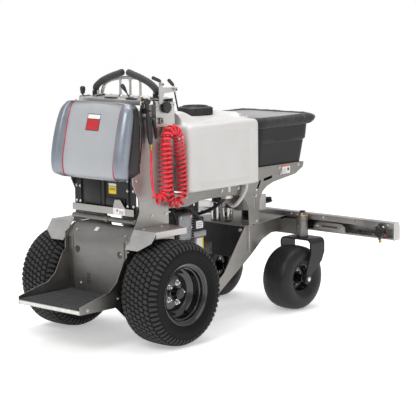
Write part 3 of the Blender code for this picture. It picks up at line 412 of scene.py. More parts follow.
TANK = material("tank_polyethylene", (0.635, 0.628, 0.615), (0.59, 0.58, 0.563), 0.36, 0.0, 3.0,
        (1, 1, 0.5), bump=0.06, grain=180, Subsurface_Weight=0.12, Subsurface_Scale=0.02)
HOPPER = material("hopper_polyethylene", (0.014, 0.014, 0.0148), (0.009, 0.009, 0.0095), 0.46, 0.0, 5,
        bump=0.2, grain=700, fleck=0.1, Specular_IOR_Level=0.3)
VINYL = material("pad_vinyl_silver", (0.39, 0.402, 0.422), (0.345, 0.356, 0.374), 0.4, 0.0, 4, bump=0.25,
        grain=650, grain_kind="voronoi", fleck=0.06, Sheen_Weight=0.1)
BOLSTER = material("pad_vinyl_blue", (0.275, 0.3, 0.34), (0.2, 0.222, 0.262), 0.32, 0.6, 4, bump=0.2,
        grain=650, grain_kind="voronoi", Coat_Weight=0.12, Coat_Roughness=0.35)
PIPING = material("red_piping", (0.5, 0.03, 0.05), (0.38, 0.02, 0.03), 0.45, 0.0, 60, bump=0.3, grain=900)
RED_HOSE = material("red_hose", (0.8, 0.02, 0.045), (0.66, 0.01, 0.022), 0.28, 0.0, 20, bump=0.05,
        grain=300, Coat_Weight=0.4, Coat_Roughness=0.12, Subsurface_Weight=0.15, Subsurface_Scale=0.004)
BRASS = material("brass", (0.68, 0.46, 0.16), (0.52, 0.33, 0.1), 0.26, 1.0, 60, bump=0.05)
CAST = material("cast_aluminium", (0.34, 0.34, 0.35), (0.24, 0.24, 0.25), 0.48, 0.85, 20, bump=0.5,
        grain=500)
FABRIC = material("cover_fabric", (0.018, 0.016, 0.019), (0.01, 0.009, 0.011), 0.8, 0.0, 16, bump=0.5,
        grain=900, Sheen_Weight=0.2)
CLEAR_VINYL = material("cover_pale_vinyl", (0.34, 0.336, 0.342), (0.27, 0.266, 0.27), 0.34, 0.0, 5,
        bump=0.15, grain=60)
WHITE = material("white_plastic", (0.74, 0.73, 0.7), (0.64, 0.63, 0.6), 0.4, 0.0, 12, bump=0.05)
HOSE = material("clear_hose", (0.62, 0.61, 0.58), (0.5, 0.49, 0.46), 0.3, 0.0, 14, bump=0.1, grain=300)
BLACK_HOSE = material("black_hose", (0.02, 0.02, 0.021), (0.012, 0.012, 0.012), 0.45, 0.0, 25, bump=0.15)
LABEL = printed("label_white", (0.8, 0.79, 0.78), (0.74, 0.73, 0.72))
YELLOW = printed("label_yellow", (0.85, 0.62, 0.02), (0.74, 0.52, 0.02))
ORANGE = printed("label_orange", (0.75, 0.16, 0.06), (0.65, 0.13, 0.05))
INK = printed("label_ink", (0.05, 0.05, 0.05), (0.03, 0.03, 0.03), 0.5)
RED_INK = printed("label_red", (0.5, 0.02, 0.03), (0.42, 0.015, 0.02))
RUST = material("weld_heat_tint", (0.2, 0.12, 0.06), (0.3, 0.24, 0.17), 0.5, 0.8, 60, bump=0.6, grain=300)
RAIL = material("dark_steel_rail", (0.13, 0.12, 0.11), (0.08, 0.074, 0.068), 0.38, 0.9, 40, bump=0.15)
HEAT = material("exhaust_steel", (0.16, 0.14, 0.12), (0.08, 0.06, 0.05), 0.5, 0.9, 14, bump=0.4, grain=250)
SHADE = material("rear_flange_shadowed_steel", (0.2, 0.19, 0.18), (0.14, 0.13, 0.12), 0.42, 1.0, 6,
        (1, 1, 1.6), bump=0.1, grain=500, grain_stretch=(1, 0.05, 1))

# ---- Coiled hose --------------------------------------------------------------------------------
COIL_ROUTE = [
    (0.118, -0.287, 1.118), (0.116, -0.287, 1.060), (0.114, -0.287, 0.980), (0.115, -0.287, 0.880),
    (0.122, -0.288, 0.800), (0.136, -0.290, 0.770), (0.171, -0.294, 0.755), (0.204, -0.298, 0.770),
    (0.213, -0.300, 0.800), (0.211, -0.302, 0.880), (0.200, -0.306, 0.980), (0.182, -0.312, 1.080),
    (0.167, -0.319, 1.132), (0.137, -0.329, 1.166), (0.096, -0.337, 1.175), (0.052, -0.346, 1.152),
    (0.034, -0.352, 1.090), (0.030, -0.353, 0.980), (0.030, -0.353, 0.890), (0.028, -0.352, 0.845),
    (0.008, -0.350, 0.815), (-0.020, -0.348, 0.806), (-0.046, -0.345, 0.818), (-0.056, -0.342, 0.846),
]
TAIL_ROUTE = [
    (-0.059, -0.338, 0.870), (-0.051, -0.325, 0.920), (-0.033, -0.302, 0.990), (-0.012, -0.284, 1.040),
    (-0.005, -0.278, 1.0665),
]
HOSE_START = (0.118, -0.2865, 1.1235)
HOSE_D, COIL_TURN_R, COIL_PITCH, COIL_SAMPLES = 0.0135, 0.025, 0.0255, 700


def coil_points():
    route = spline(COIL_ROUTE, COIL_SAMPLES)
    axes = frames(route)
    step = (route[1] - route[0]).length
    total = step * (len(route) - 1)
    phase, made = 0.0, []
    for i, point in enumerate(route):
        bend = (axes[min(i + 6, COIL_SAMPLES - 1)][0] - axes[max(i - 6, 0)][0]).length / (12 * step)
        wide = min(COIL_TURN_R, 0.6 / max(bend, 0.001))
        pitch = max(COIL_PITCH, 0.014 / max(0.3, 1 - wide * bend))
        run = step * i
        r = wide * smooth(run / 0.04) * smooth((total - run) / 0.045)
        made.append(point + r * (math.cos(phase) * axes[i][1] + math.sin(phase) * axes[i][2]))
        phase += TAU * step / pitch
    return made


hose_line = [Vector(HOSE_START)] + coil_points()[2:-2] + spline(TAIL_ROUTE, 16)
hose_line = [p + Vector((AX, 0, 0)) for p in hose_line]
hose_curve = bpy.data.curves.new("spray_hose", "CURVE")
hose_curve.dimensions = "3D"
hose_curve.bevel_depth = HOSE_D / 2
hose_curve.bevel_resolution = 3
hose_curve.use_fill_caps = True
line = hose_curve.splines.new("POLY")
line.points.add(len(hose_line) - 1)
for target, point in zip(line.points, hose_line):
    target.co = (*point, 1)
hose_curve.materials.append(RED_HOSE)
spray_hose = bpy.data.objects.new("spray_hose", hose_curve)
scene.collection.objects.link(spray_hose)
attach(spray_hose, "chassis")
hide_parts("hose_coil", "hose_tail")


# ---- Carried-over sheet metal -------------------------------------------------------------------
def dress(names, mat, width=0.0011):
    """Give CAD nodes their material and soften their edges."""
    for name in names.split():
        node = frame["nodes"][name]
        node.data.materials.clear()
        node.data.materials.append(mat)
        node.data.shade_smooth()
        weld = node.modifiers.new("weld", "WELD")
        weld.merge_threshold = 0.00002
        if width:
            edge = node.modifiers.new("edge", "BEVEL")
            edge.width, edge.segments = width, 2
            edge.limit_method, edge.angle_limit = "ANGLE", math.radians(40)
            edge.harden_normals = True
        flat = node.modifiers.new("flat", "WEIGHTED_NORMAL")
        flat.keep_sharp = True


dress("side_frame_left side_frame_right support_plate_left support_plate_right", STEEL)
dress("console_side_left console_side_right", STEEL_SIDE_PAINTED_LIT)
dress("rear_cover", STEEL_COVER)
dress("fender_left fender_right spray_boom console_top control_panel", STEEL_PAINTED_LIT)
dress("operator_platform lower_cross_plate front_deck hopper_tray", STEEL_CROSS_PAINTED_LIT)
dress("front_axle_beam cross_tube gate_plate", STEEL_BEAM_PAINTED_SHADE, 0.0012)
dress("engine_guard bulkhead_plate caster_fork_left caster_fork_right spinner_motor", DARK_STEEL)
dress("transaxle_left transaxle_right", CAST, 0.004)


# ---- Rear wheels --------------------------------------------------------------------------------
TYRE_PROFILE = [(0.0, 0.2845), (0.03, 0.2843), (0.06, 0.283), (0.085, 0.2795), (0.102, 0.2735),
        (0.114, 0.265), (0.1225, 0.253), (0.1275, 0.238), (0.129, 0.223), (0.1265, 0.206), (0.1215, 0.193),
        (0.1165, 0.184), (0.1135, 0.177), (0.108, 0.1745)]


def tread_surface(a, lift):
    """Offset and radius of the tyre's outer surface at a distance a across it, raised by lift."""
    run, prev = 0.0, TYRE_PROFILE[0]
    for point in TYRE_PROFILE[1:]:
        step = math.hypot(point[0] - prev[0], point[1] - prev[1])
        if run + step >= abs(a):
            f = (abs(a) - run) / step
            x, r = prev[0] + f * (point[0] - prev[0]), prev[1] + f * (point[1] - prev[1])
            nx, nr = prev[1] - point[1], point[0] - prev[0]
            size = math.hypot(nx, nr)
            return math.copysign(x + lift * nx / size, a), r + lift * nr / size
        run, prev = run + step, point
    return math.copysign(prev[0], a), prev[1]


def lug(bm, corners, low, high, shrink, centre):
    """One tread block: its corners are (across, angle) pairs; its top is a little smaller than its foot."""
    ca = sum(c[0] for c in corners) / len(corners)
    ct = sum(c[1] for c in corners) / len(corners)
    rings = []
    for lift, scale in ((low, 1.0), (high - 0.0012, 1.0 - shrink * 0.5), (high, 1.0 - shrink)):
        ring = []
        for a, t in corners:
            x, r = tread_surface(ca + (a - ca) * scale, lift)
            angle = ct + (t - ct) * scale
            ring.append(bm.verts.new((centre[0] + r * math.sin(angle), centre[1] + x,
                    centre[2] + r * math.cos(angle))))
        rings.append(ring)
    for a, b in zip(rings, rings[1:]):
        for i in range(len(a)):
            j = (i + 1) % len(a)
            bm.faces.new((a[i], a[j], b[j], b[i]))
    bm.faces.new(rings[-1])


def block_outline(a0, a1, t0, t1, skew, cut=0.22):
    """Corners of a rounded, skewed block in (across, angle)."""
    points = []
    da, dt = (a1 - a0) * cut, (t1 - t0) * cut
    for a, t in ((a0 + da, t0), (a1 - da, t0), (a1, t0 + dt), (a1, t1 - dt), (a1 - da, t1), (a0 + da, t1),
            (a0, t1 - dt), (a0, t0 + dt)):
        points.append((a, t + skew * (a - a0)))
    return points


def rear_wheel(name, sign):
    centre = (0.0, 0.41 * sign, 0.292)
    lining = [(0.0, 0.274), (0.085, 0.268), (0.112, 0.235), (0.112, 0.2), (0.092, 0.1545), (0.1075, 0.1545)]
    half = TYRE_PROFILE + [(0.1075, 0.1545)]
    fine = []
    for (a, r), (b, s) in zip(half, half[1:]):
        fine += [(a, r), ((a + b) / 2, (r + s) / 2)]
    outer = [(-a, r) for a, r in half[::-1]] + half[1:]
    inner = [(a, r) for a, r in lining[::-1][1:]] + [(-a, r) for a, r in lining[1:-1]]
    body = turned([(sign * a, r) for a, r in outer + inner], "y", centre, 120, closed=True)
    bm = bmesh.new()
    pitch = TAU / 58
    column = 0.0315
    for i in range(6):
        a0 = (i - 3) * column + 0.0022
        a1 = a0 + column - 0.0048
        for k in range(58):
            t0 = pitch * (k + 0.5 * (i % 2)) + 0.1 * math.sin(i * 1.1) * pitch
            lug(bm, block_outline(a0, a1, t0, t0 + pitch * 0.74, 1.05), -0.002, 0.0075, 0.1, centre)
    for s in (-1, 1):
        for k in range(58):
            t0 = pitch * (k + (0.25 if s > 0 else 0.75))
            inner_a, mid, outer_a = 0.0975, 0.118, 0.139
            corners = [(s * inner_a, t0), (s * mid, t0 + 0.01), (s * outer_a, t0 + pitch * 0.1),
                    (s * (outer_a + 0.004), t0 + pitch * 0.33), (s * outer_a, t0 + pitch * 0.56),
                    (s * mid, t0 + pitch * 0.66), (s * inner_a, t0 + pitch * 0.68)]
            lug(bm, corners, -0.002, 0.0065, 0.1, centre)
    tyre = Build(f"turf_tyre_{name}").add(TYRE, body).add(LUG, to_mesh(bm))
    for r, a in ((0.207, 0.1268), (0.1905, 0.1205)):
        bead = [(sign * (a + 0.0016 * math.cos(t)), r + 0.0016 * math.sin(t))
                for t in [TAU * k / 8 for k in range(8)]]
        tyre.add(TYRE, turned(bead, "y", centre, 96, closed=True))
    tyre.done(f"rear_wheel_{name}", f"rear_tyre_{name}", angle=28)
    disc = [(0.022, 0), (0.022, 0.036), (0.025, 0.04), (0.025, 0.092), (0.02, 0.104), (0.026, 0.116),
            (0.034, 0.122), (0.04, 0.134), (0.064, 0.1375), (0.078, 0.1395), (0.082, 0.1455), (0.1, 0.1475),
            (0.105, 0.152), (0.1095, 0.16), (0.113, 0.1665), (0.1145, 0.17), (0.114, 0.1725),
            (0.1115, 0.173), (0.1085, 0.171), (0.107, 0.156), (0.104, 0.1535), (0.082, 0.152),
            (0.07, 0.1445), (-0.07, 0.1445), (-0.082, 0.152), (-0.104, 0.1535), (-0.108, 0.17),
            (-0.114, 0.1715), (-0.113, 0.164), (-0.1, 0.149), (-0.06, 0.14), (0.012, 0.137), (0.018, 0.118),
            (0.014, 0.104), (0.019, 0.09), (0.019, 0)]
    rim = Build(f"dish_rim_{name}")
    rim.add(GLOSS, turned([(sign * a, r) for a, r in disc], "y", centre, 96))
    hub = [(-0.012, 0), (-0.012, 0.045), (0.02, 0.045), (0.028, 0.032), (0.06, 0.031), (0.069, 0.029),
            (0.073, 0.022), (0.0735, 0.0)]
    rim.add(GLOSS, turned([(sign * a, r) for a, r in hub], "y", centre, 40))
    rim.add(PLASTIC, rod("y", (0, centre[1] + sign * 0.0745, centre[2]), 0.0245, -0.0015, 0.0015, 36,
            0.0006))
    for k in range(5):
        t = math.radians(20 + 72 * k)
        at = (0.057 * math.sin(t), centre[1] + sign * 0.025, centre[2] + 0.057 * math.cos(t))
        rim.bolt(at, (0, sign, 0), 0.0105, 0.012)
        rim.add(BRIGHT, rod("y", at, 0.006, 0.0, sign * 0.021, 12))
    valve = (0.128 * math.sin(2.6), centre[1] + sign * 0.036, centre[2] + 0.128 * math.cos(2.6))
    rim.add(PLASTIC, rod("y", valve, 0.0042, 0.0, sign * 0.03, 12))
    rim.done(f"rear_wheel_{name}", f"rear_rim_{name}", angle=30)


for wheel_name, wheel_sign in both():
    rear_wheel(wheel_name, wheel_sign)


# ---- Casters ------------------------------------------------------------------------------------
def caster(name, sign):
    centre = (1.16, 0.318 * sign, 0.195)
    half = [(0.0, 0.195), (0.006, 0.195), (0.0075, 0.193), (0.01, 0.193), (0.0115, 0.1948), (0.032, 0.194),
            (0.0335, 0.1917), (0.036, 0.1915), (0.0375, 0.1932), (0.056, 0.1908), (0.074, 0.1848),
            (0.087, 0.174), (0.0945, 0.16), (0.0975, 0.143), (0.097, 0.126), (0.0945, 0.114), (0.09, 0.103),
            (0.082, 0.095), (0.078, 0.088), (0.075, 0.0835)]
    lining = [(0.058, 0.0835), (0.066, 0.12), (0.05, 0.17), (0.0, 0.178)]
    outer = [(-a, r) for a, r in half[::-1]] + half[1:]
    inner = lining + [(-a, r) for a, r in lining[::-1][1:]]
    tyre = Build(f"smooth_tyre_{name}")
    tyre.add(CASTER_RUBBER, turned([(sign * a, r) for a, r in outer + inner], "y", centre, 96, closed=True))
    for r, a in ((0.131, 0.0962), (0.148, 0.0948), (0.114, 0.0938)):
        for s in (-1, 1):
            bead = [(s * (a + 0.0012 * math.cos(t)), r + 0.0014 * math.sin(t))
                    for t in [TAU * k / 8 for k in range(8)]]
            tyre.add(CASTER_RUBBER, turned(bead, "y", centre, 80, closed=True))
    tyre.done(f"caster_wheel_{name}", f"caster_tyre_{name}", angle=30)
    profile = [(0.0905, 0.0108), (0.0905, 0.0195), (0.088, 0.022), (0.045, 0.0235), (0.026, 0.03),
            (0.02, 0.05), (0.024, 0.066), (0.04, 0.072), (0.062, 0.0745), (0.069, 0.08), (0.0715, 0.0885),
            (0.069, 0.0895), (0.066, 0.083), (0.0, 0.0815)]
    ring = profile + [(-a, r) for a, r in profile[::-1][1:]]
    rim = Build(f"caster_rim_smooth_{name}")
    rim.add(GLOSS, turned(ring, "y", centre, 64, closed=True))
    for s in (-1, 1):
        for k in range(5):
            t = TAU * k / 5 + 0.4
            rim.bolt((centre[0] + 0.045 * math.sin(t), centre[1] + s * 0.0215,
                    centre[2] + 0.045 * math.cos(t)), (0, s, 0), 0.0055, 0.005)
    rim.done(f"caster_wheel_{name}", f"caster_rim_{name}", angle=30)
    fork = Build(f"fork_fasteners_{name}")
    for s in (-1, 1):
        fork.bolt((1.16, centre[1] + s * 0.1202, 0.195), (0, s, 0), 0.015, 0.01)
        fork.add(DARK_STEEL, rod("y", (1.16, centre[1] + s * 0.1201, 0.195), 0.026, 0, s * 0.003, 28))
    fork.add(DARK_STEEL, rod("z", (1.257, centre[1], 0.4322), 0.033, 0, 0.0016, 32))
    fork.done(f"caster_{name}")


for wheel_name, wheel_sign in both():
    caster(wheel_name, wheel_sign)

# ---- Tank ---------------------------------------------------------------------------------------
def outline(low, high, radius, straight=24, corner=10):
    """A rounded rectangle whose straight sides carry points too."""
    (x0, y0), (x1, y1) = low, high
    r = radius
    made = []
    for centre, turn, to in (((x1 - r, y0 + r), -90, (x1, y1 - r)), ((x1 - r, y1 - r), 0, (x0 + r, y1)),
            ((x0 + r, y1 - r), 90, (x0, y0 + r)), ((x0 + r, y0 + r), 180, (x1 - r, y0))):
        bend = arc(centre, r, turn, turn + 90, corner)
        made += bend
        made += [(bend[-1][0] + (to[0] - bend[-1][0]) * k / straight,
                bend[-1][1] + (to[1] - bend[-1][1]) * k / straight) for k in range(1, straight)]
    return made


def bump_between(x, low, high, soft):
    return smooth((x - low) / soft) * smooth((high - x) / soft)


TANK_REAR, TANK_FRONT, TANK_HALF, TANK_LOW, TANK_HIGH = 0.248, 0.852, 0.33, 0.805, 1.185


def tank_top(x, y):
    """Height of the moulded top above its edge."""
    side = bump_between(y, -0.275, 0.275, 0.085)
    rear = 0.057 * smooth((x - 0.252) / 0.03) * (1 - smooth((x - 0.3) / 0.19))
    front = 0.027 * bump_between(x, 0.726, 0.848, 0.075)
    flat = 0.016 * bump_between(x, 0.262, 0.841, 0.05)
    neck = 0.004 * (1 - smooth((math.hypot(x - 0.65, y) - 0.112) / 0.02))
    saddle = 0.01 * bump_between(x, 0.4, 0.62, 0.1) * smooth(abs(y) / 0.24)
    return side * (rear + front + flat) + neck - side * saddle * 0.6


def tank():
    rings = []
    levels = [(TANK_LOW, 0.022), (TANK_LOW + 0.002, 0.012), (TANK_LOW + 0.006, 0.005),
            (TANK_LOW + 0.014, 0.0)]
    levels += [(TANK_LOW + 0.014 + (TANK_HIGH - 0.032 - TANK_LOW - 0.014) * k / 26, 0.0)
            for k in range(1, 27)]
    levels += [(TANK_HIGH - 0.024, 0.0012), (TANK_HIGH - 0.016, 0.0035), (TANK_HIGH - 0.009, 0.0075),
            (TANK_HIGH - 0.004, 0.013), (TANK_HIGH - 0.001, 0.02)]
    for z, inset in levels:
        ring = []
        for x, y in outline((TANK_REAR + inset, -TANK_HALF + inset),
                (TANK_FRONT - inset, TANK_HALF - inset), 0.03 - inset * 0.4, 34, 10):
            tall = bump_between(z, 0.832, 1.158, 0.016)
            if abs(y) > TANK_HALF - 0.03:
                sink = 0.01 * tall * bump_between(x, 0.322, 0.786, 0.01)
                groove = bump_between(x, 0.334, 0.774, 0.008) - bump_between(x, 0.348, 0.76, 0.008)
                sink -= 0.0022 * tall * groove
                y -= math.copysign(sink, y)
            else:
                sink = 0.006 * tall * bump_between(y, -0.25, 0.25, 0.018)
                x += sink if x < 0.5 else -sink
            ring.append((x, y, z))
        rings.append(ring)
    rim = outline((TANK_REAR + 0.02, -TANK_HALF + 0.02), (TANK_FRONT - 0.02, TANK_HALF - 0.02), 0.024, 34,
            10)
    middle = ((TANK_REAR + TANK_FRONT) / 2, 0)
    for k in range(1, 22):
        share = 1 - k / 21.5
        ring = []
        for x, y in rim:
            px, py = middle[0] + (x - middle[0]) * share, middle[1] + (y - middle[1]) * share
            ring.append((px, py, TANK_HIGH + tank_top(px, py)))
        rings.append(ring)
    made = Build("moulded_tank").add(TANK, loft(rings))
    neck = [(1.178, 0.07), (1.178, 0.089), (1.2075, 0.089), (1.2095, 0.087), (1.2095, 0.082), (1.178, 0.08)]
    made.add(TANK, turned(neck, "z", (0.65, 0, 0), 64, closed=True))
    for y in (-0.327, 0.327):
        for z in (0.86, 1.13):
            made.add(TANK, rod("y", (0.811, 0, z), 0.01, y - 0.004, y + 0.004, 24))
    for x, z in ((0.788, 1.209), (0.841, 1.193)):
        made.add(TANK, rod("z", (x, -0.235, z - 0.008), 0.008, 0, 0.01, 20))
    made.done("chassis", "liquid_tank", angle=40)
    fittings = Build("tank_outlet")
    fittings.add(WHITE, rod("z", (0.668, -0.23, 0), 0.026, 0.762, 0.8045, 6, 0.002),
            rod("z", (0.668, -0.23, 0), 0.019, 0.735, 0.764, 28),
            box((0.64, -0.246, 0.722), (0.7, -0.214, 0.742), 0.004))
    fittings.add(BRASS, rod("y", (0.69, -0.247, 0.731), 0.007, -0.004, 0.002, 6))
    fittings.done("chassis")


tank()


def tank_lid():
    made = Build("filler_cap")
    z = 1.2025
    skirt = [(z, 0.0915), (z, 0.1005), (z + 0.004, 0.102), (z + 0.041, 0.102), (z + 0.046, 0.1),
            (z + 0.0485, 0.0955), (z + 0.049, 0.08), (z + 0.051, 0.0765), (z + 0.0555, 0.0745),
            (z + 0.0565, 0.0715), (z + 0.056, 0.066), (z + 0.0515, 0.063), (z + 0.051, 0.0)]
    made.add(PLASTIC, turned([(z + 0.026, 0), (z + 0.026, 0.0915)] + skirt, "z", (0.65, 0, 0), 96))
    for k in range(40):
        t = TAU * k / 40
        rib = box((0.1005, -0.0022, z + 0.001), (0.1048, 0.0022, z + 0.043), 0.0012)
        made.add(PLASTIC, rib, matrix=Matrix.Translation((0.65, 0, 0)) @ Matrix.Rotation(t, 4, "Z"))
    for k in range(6):
        t = TAU * k / 6 + 0.3
        fin = box((0.012, -0.0016, z + 0.0505), (0.064, 0.0016, z + 0.0545), 0.001)
        made.add(PLASTIC, fin, matrix=Matrix.Translation((0.65, 0, 0)) @ Matrix.Rotation(t, 4, "Z"))
    made.add(PLASTIC, rod("z", (0.65, 0, 0), 0.013, z + 0.05, z + 0.0562, 32))
    made.done("tank_lid", "tank_cap")


tank_lid()


# ---- Hopper and its cover -----------------------------------------------------------------------
HOPPER_LEVELS = [(0.8565, 0.915, 1.346, 0.236, 0.045), (0.895, 0.905, 1.357, 0.243, 0.05),
        (1.019, 0.893, 1.373, 0.26, 0.055), (1.027, 0.884, 1.383, 0.271, 0.062),
        (1.1435, 0.88, 1.389, 0.285, 0.068)]


def between(levels, z):
    for low, high in zip(levels, levels[1:]):
        if z <= high[0] or high is levels[-1]:
            f = min(1, max(0, (z - low[0]) / (high[0] - low[0])))
            return [a + (b - a) * f for a, b in zip(low[1:], high[1:])]


def hopper_line(z, inset=0.0, sag=0.0):
    rear, front, half, radius = between(HOPPER_LEVELS, z)
    ring = []
    for x, y in outline((rear + inset, -half + inset), (front - inset, half - inset), radius - inset * 0.6,
            20, 10):
        pull = sag * bump_between(x, rear, front, 0.2) if abs(y) > half - 0.03 else 0.0
        ring.append((x, y - math.copysign(pull, y), z))
    return ring


def hopper():
    rings = [hopper_line(0.8565, 0.012), hopper_line(0.858, 0.005), hopper_line(0.862, 0.001),
            hopper_line(0.87)]
    rings += [hopper_line(0.87 + 0.143 * k / 8, 0, 0.0025 * math.sin(math.pi * k / 8)) for k in range(1, 8)]
    rings += [hopper_line(1.014), hopper_line(1.0175, 0.0002), hopper_line(1.0205), hopper_line(1.0245),
            hopper_line(1.0285)]
    rings += [hopper_line(1.0285 + 0.111 * k / 6, 0, 0.002 * math.sin(math.pi * k / 6))
            for k in range(1, 7)]
    rings += [hopper_line(1.142, 0.0008), hopper_line(1.1435, 0.0025), hopper_line(1.142, 0.0045)]
    rings += [hopper_line(z, 0.005) for z in (1.126, 1.037, 1.026, 1.018, 0.95, 0.9, 0.87, 0.864)]
    made = Build("seed_hopper").add(HOPPER, loft(rings))
    made.add(HOPPER, turned([(0.7205, 0.045), (0.7205, 0.0505), (0.82, 0.0505), (0.85, 0.06), (0.857, 0.07),
            (0.857, 0.045)], "z", (1.12, 0, 0), 48, closed=True))
    for y in (-0.12, 0.12):
        made.add(HOPPER, box((0.9, y - 0.006, 0.875), (0.9075, y + 0.006, 0.985), 0.003))
    made.done("chassis", "hopper", angle=38)


hopper()

COVER_LEVELS = [(1.1185, 0.874, 1.412, 0.294, 0.074), (1.122, 0.87, 1.42, 0.2985, 0.076),
        (1.134, 0.865, 1.437, 0.3055, 0.08), (1.15, 0.8625, 1.4465, 0.3075, 0.082),
        (1.162, 0.865, 1.444, 0.305, 0.081), (1.171, 0.873, 1.435, 0.297, 0.08),
        (1.1775, 0.886, 1.42, 0.285, 0.078), (1.179, 0.9, 1.406, 0.272, 0.074),
        (1.17, 0.912, 1.393, 0.261, 0.07), (1.159, 0.92, 1.385, 0.254, 0.066)]


def hopper_cover():
    """Elastic hem gathered round the rim, and the pale sheet stretched inside it."""
    rings = []
    for n, (z, rear, front, half, radius) in enumerate(COVER_LEVELS):
        ring, run, last = [], 0.0, None
        for x, y in outline((rear, -half), (front, half), radius, 60, 26):
            here = Vector((x, y, 0))
            run += (here - last).length if last else 0
            last = here
            v = n / (len(COVER_LEVELS) - 1)
            gather = math.sin(run * 190 + 5.5 * v + 2.2 * noise.noise((run * 11, 3.1, v)))
            fold = noise.noise((run * 34 + v * 1.6, 7.7, v * 1.1))
            loose = math.sin(math.pi * min(1, v * 1.15))
            slant = noise.noise((run * 15 + v * 2.6, 2.2, v * 0.8))
            amount = loose * (0.0009 * gather + 0.0046 * fold + 0.0052 * slant)
            out = Vector((x - 1.155, y * 0.9, 0)).normalized()
            ring.append((x + out.x * amount, y + out.y * amount,
                    z + loose * (0.0028 * fold + 0.0036 * slant - 0.0006 * gather)))
        rings.append(ring)
    under = [[(1.155 + (x - 1.155) * 0.988, y * 0.984, z - 0.0022) for x, y, z in ring]
            for ring in rings[::-1]]
    hem = Build("cover_hem").add(FABRIC, ring_loft(rings + under)).done("hopper_lid", angle=180)
    top = []
    edge = rings[-2]
    for k in range(26):
        share = 1.0 - (k / 25.4)
        ring = []
        for x, y, z in edge:
            px, py = 1.155 + (x - 1.155) * share, y * share
            sag = 0.016 * (1 - share ** 2.2)
            ripple = 0.0022 * noise.noise((px * 5 + py * 16, py * 4, 4.5))
            wave = 0.003 * noise.noise((px * 9, py * 9, 1.5)) + ripple
            ring.append((px, py, z + 0.001 - sag + wave * (1 - share ** 6)))
        top.append(ring)
    low = [[(x, y, z - 0.0012) for x, y, z in ring] for ring in top[::-1]]
    sheet = Build("hopper_cover_sheet").add(CLEAR_VINYL, loft(top, capped=False), loft(low, capped=False))
    sheet = sheet.done("hopper_lid", "hopper_cover", angle=180)


def ring_loft(rings):
    """Skin a stack of rings and close the last one back on to the first."""
    bm = bmesh.new()
    levels = [[bm.verts.new(p) for p in ring] for ring in rings]
    for a, b in zip(levels, levels[1:] + levels[:1]):
        for i in range(len(a)):
            j = (i + 1) % len(a)
            bm.faces.new((a[i], a[j], b[j], b[i]))
    return to_mesh(bm)


hopper_cover()

# ---- Thigh pad ----------------------------------------------------------------------------------
PAD_LEVELS = [(0.914, -0.2, -0.19, 0.268, 0.024), (0.935, -0.222, -0.207, 0.288, 0.038),
        (1.0, -0.226, -0.211, 0.293, 0.045), (1.09, -0.211, -0.197, 0.294, 0.046),
        (1.2, -0.186, -0.172, 0.288, 0.044), (1.285, -0.16, -0.148, 0.274, 0.036),
        (1.326, -0.134, -0.13, 0.244, 0.024)]
SHELL_LEVELS = [(0.9325, -0.186, -0.1005, 0.25, 0.02), (0.95, -0.1875, -0.082, 0.279, 0.035),
        (1.0, -0.188, -0.081, 0.285, 0.035), (1.09, -0.1735, -0.078, 0.287, 0.035),
        (1.2, -0.1495, -0.0745, 0.281, 0.03), (1.285, -0.1295, -0.0705, 0.266, 0.025),
        (1.318, -0.1205, -0.067, 0.235, 0.02)]
SEAM_Y = 0.202


def curved(levels, count):
    """Levels interpolated smoothly, one list for each."""
    points = [Vector((*level[:3],)) for level in levels]
    others = [Vector((level[3], level[4], level[0])) for level in levels]
    a, b = spline(points, 400), spline(others, 400)
    z0, z1 = levels[0][0], levels[-1][0]
    made = []
    for i in range(count):
        t = i / (count - 1)
        t = 0.5 - 0.5 * math.cos(math.pi * t)
        z = z0 + (z1 - z0) * t
        p = min(a, key=lambda q: abs(q.x - z))
        q = min(b, key=lambda r: abs(r.z - z))
        made.append((z, p.y, p.z, q.x, q.y))
    return made


def pad_section(centre, roll, half, radius, foot):
    """Half outline of the pad from its front, round the bolster, to the middle of the back."""
    points = []
    for k in range(25):
        t = math.radians(50 + 158 * k / 24)
        points.append((roll + radius * math.cos(t), half - radius + radius * math.sin(t)))
    last = points[-1]
    seam = (centre + 0.004, SEAM_Y)
    if last[1] < SEAM_Y + 0.004:
        points = [p for p in points if not (p[1] < SEAM_Y + 0.004 and p[0] < roll)]
        last = points[-1]
    for k in (0.4, 0.75):
        points.append((last[0] + (seam[0] - last[0]) * k, last[1] + (seam[1] - last[1]) * k))
    points.append(seam)
    for k in range(1, 15):
        y = SEAM_Y * (1 - k / 14)
        crown = 0.0085 * (1 - (y / SEAM_Y) ** 2) ** 0.8 + 0.0035 * (1 - (y / SEAM_Y) ** 14) - 0.0035
        points.append((centre - crown * foot + 0.0005, y))
    return points


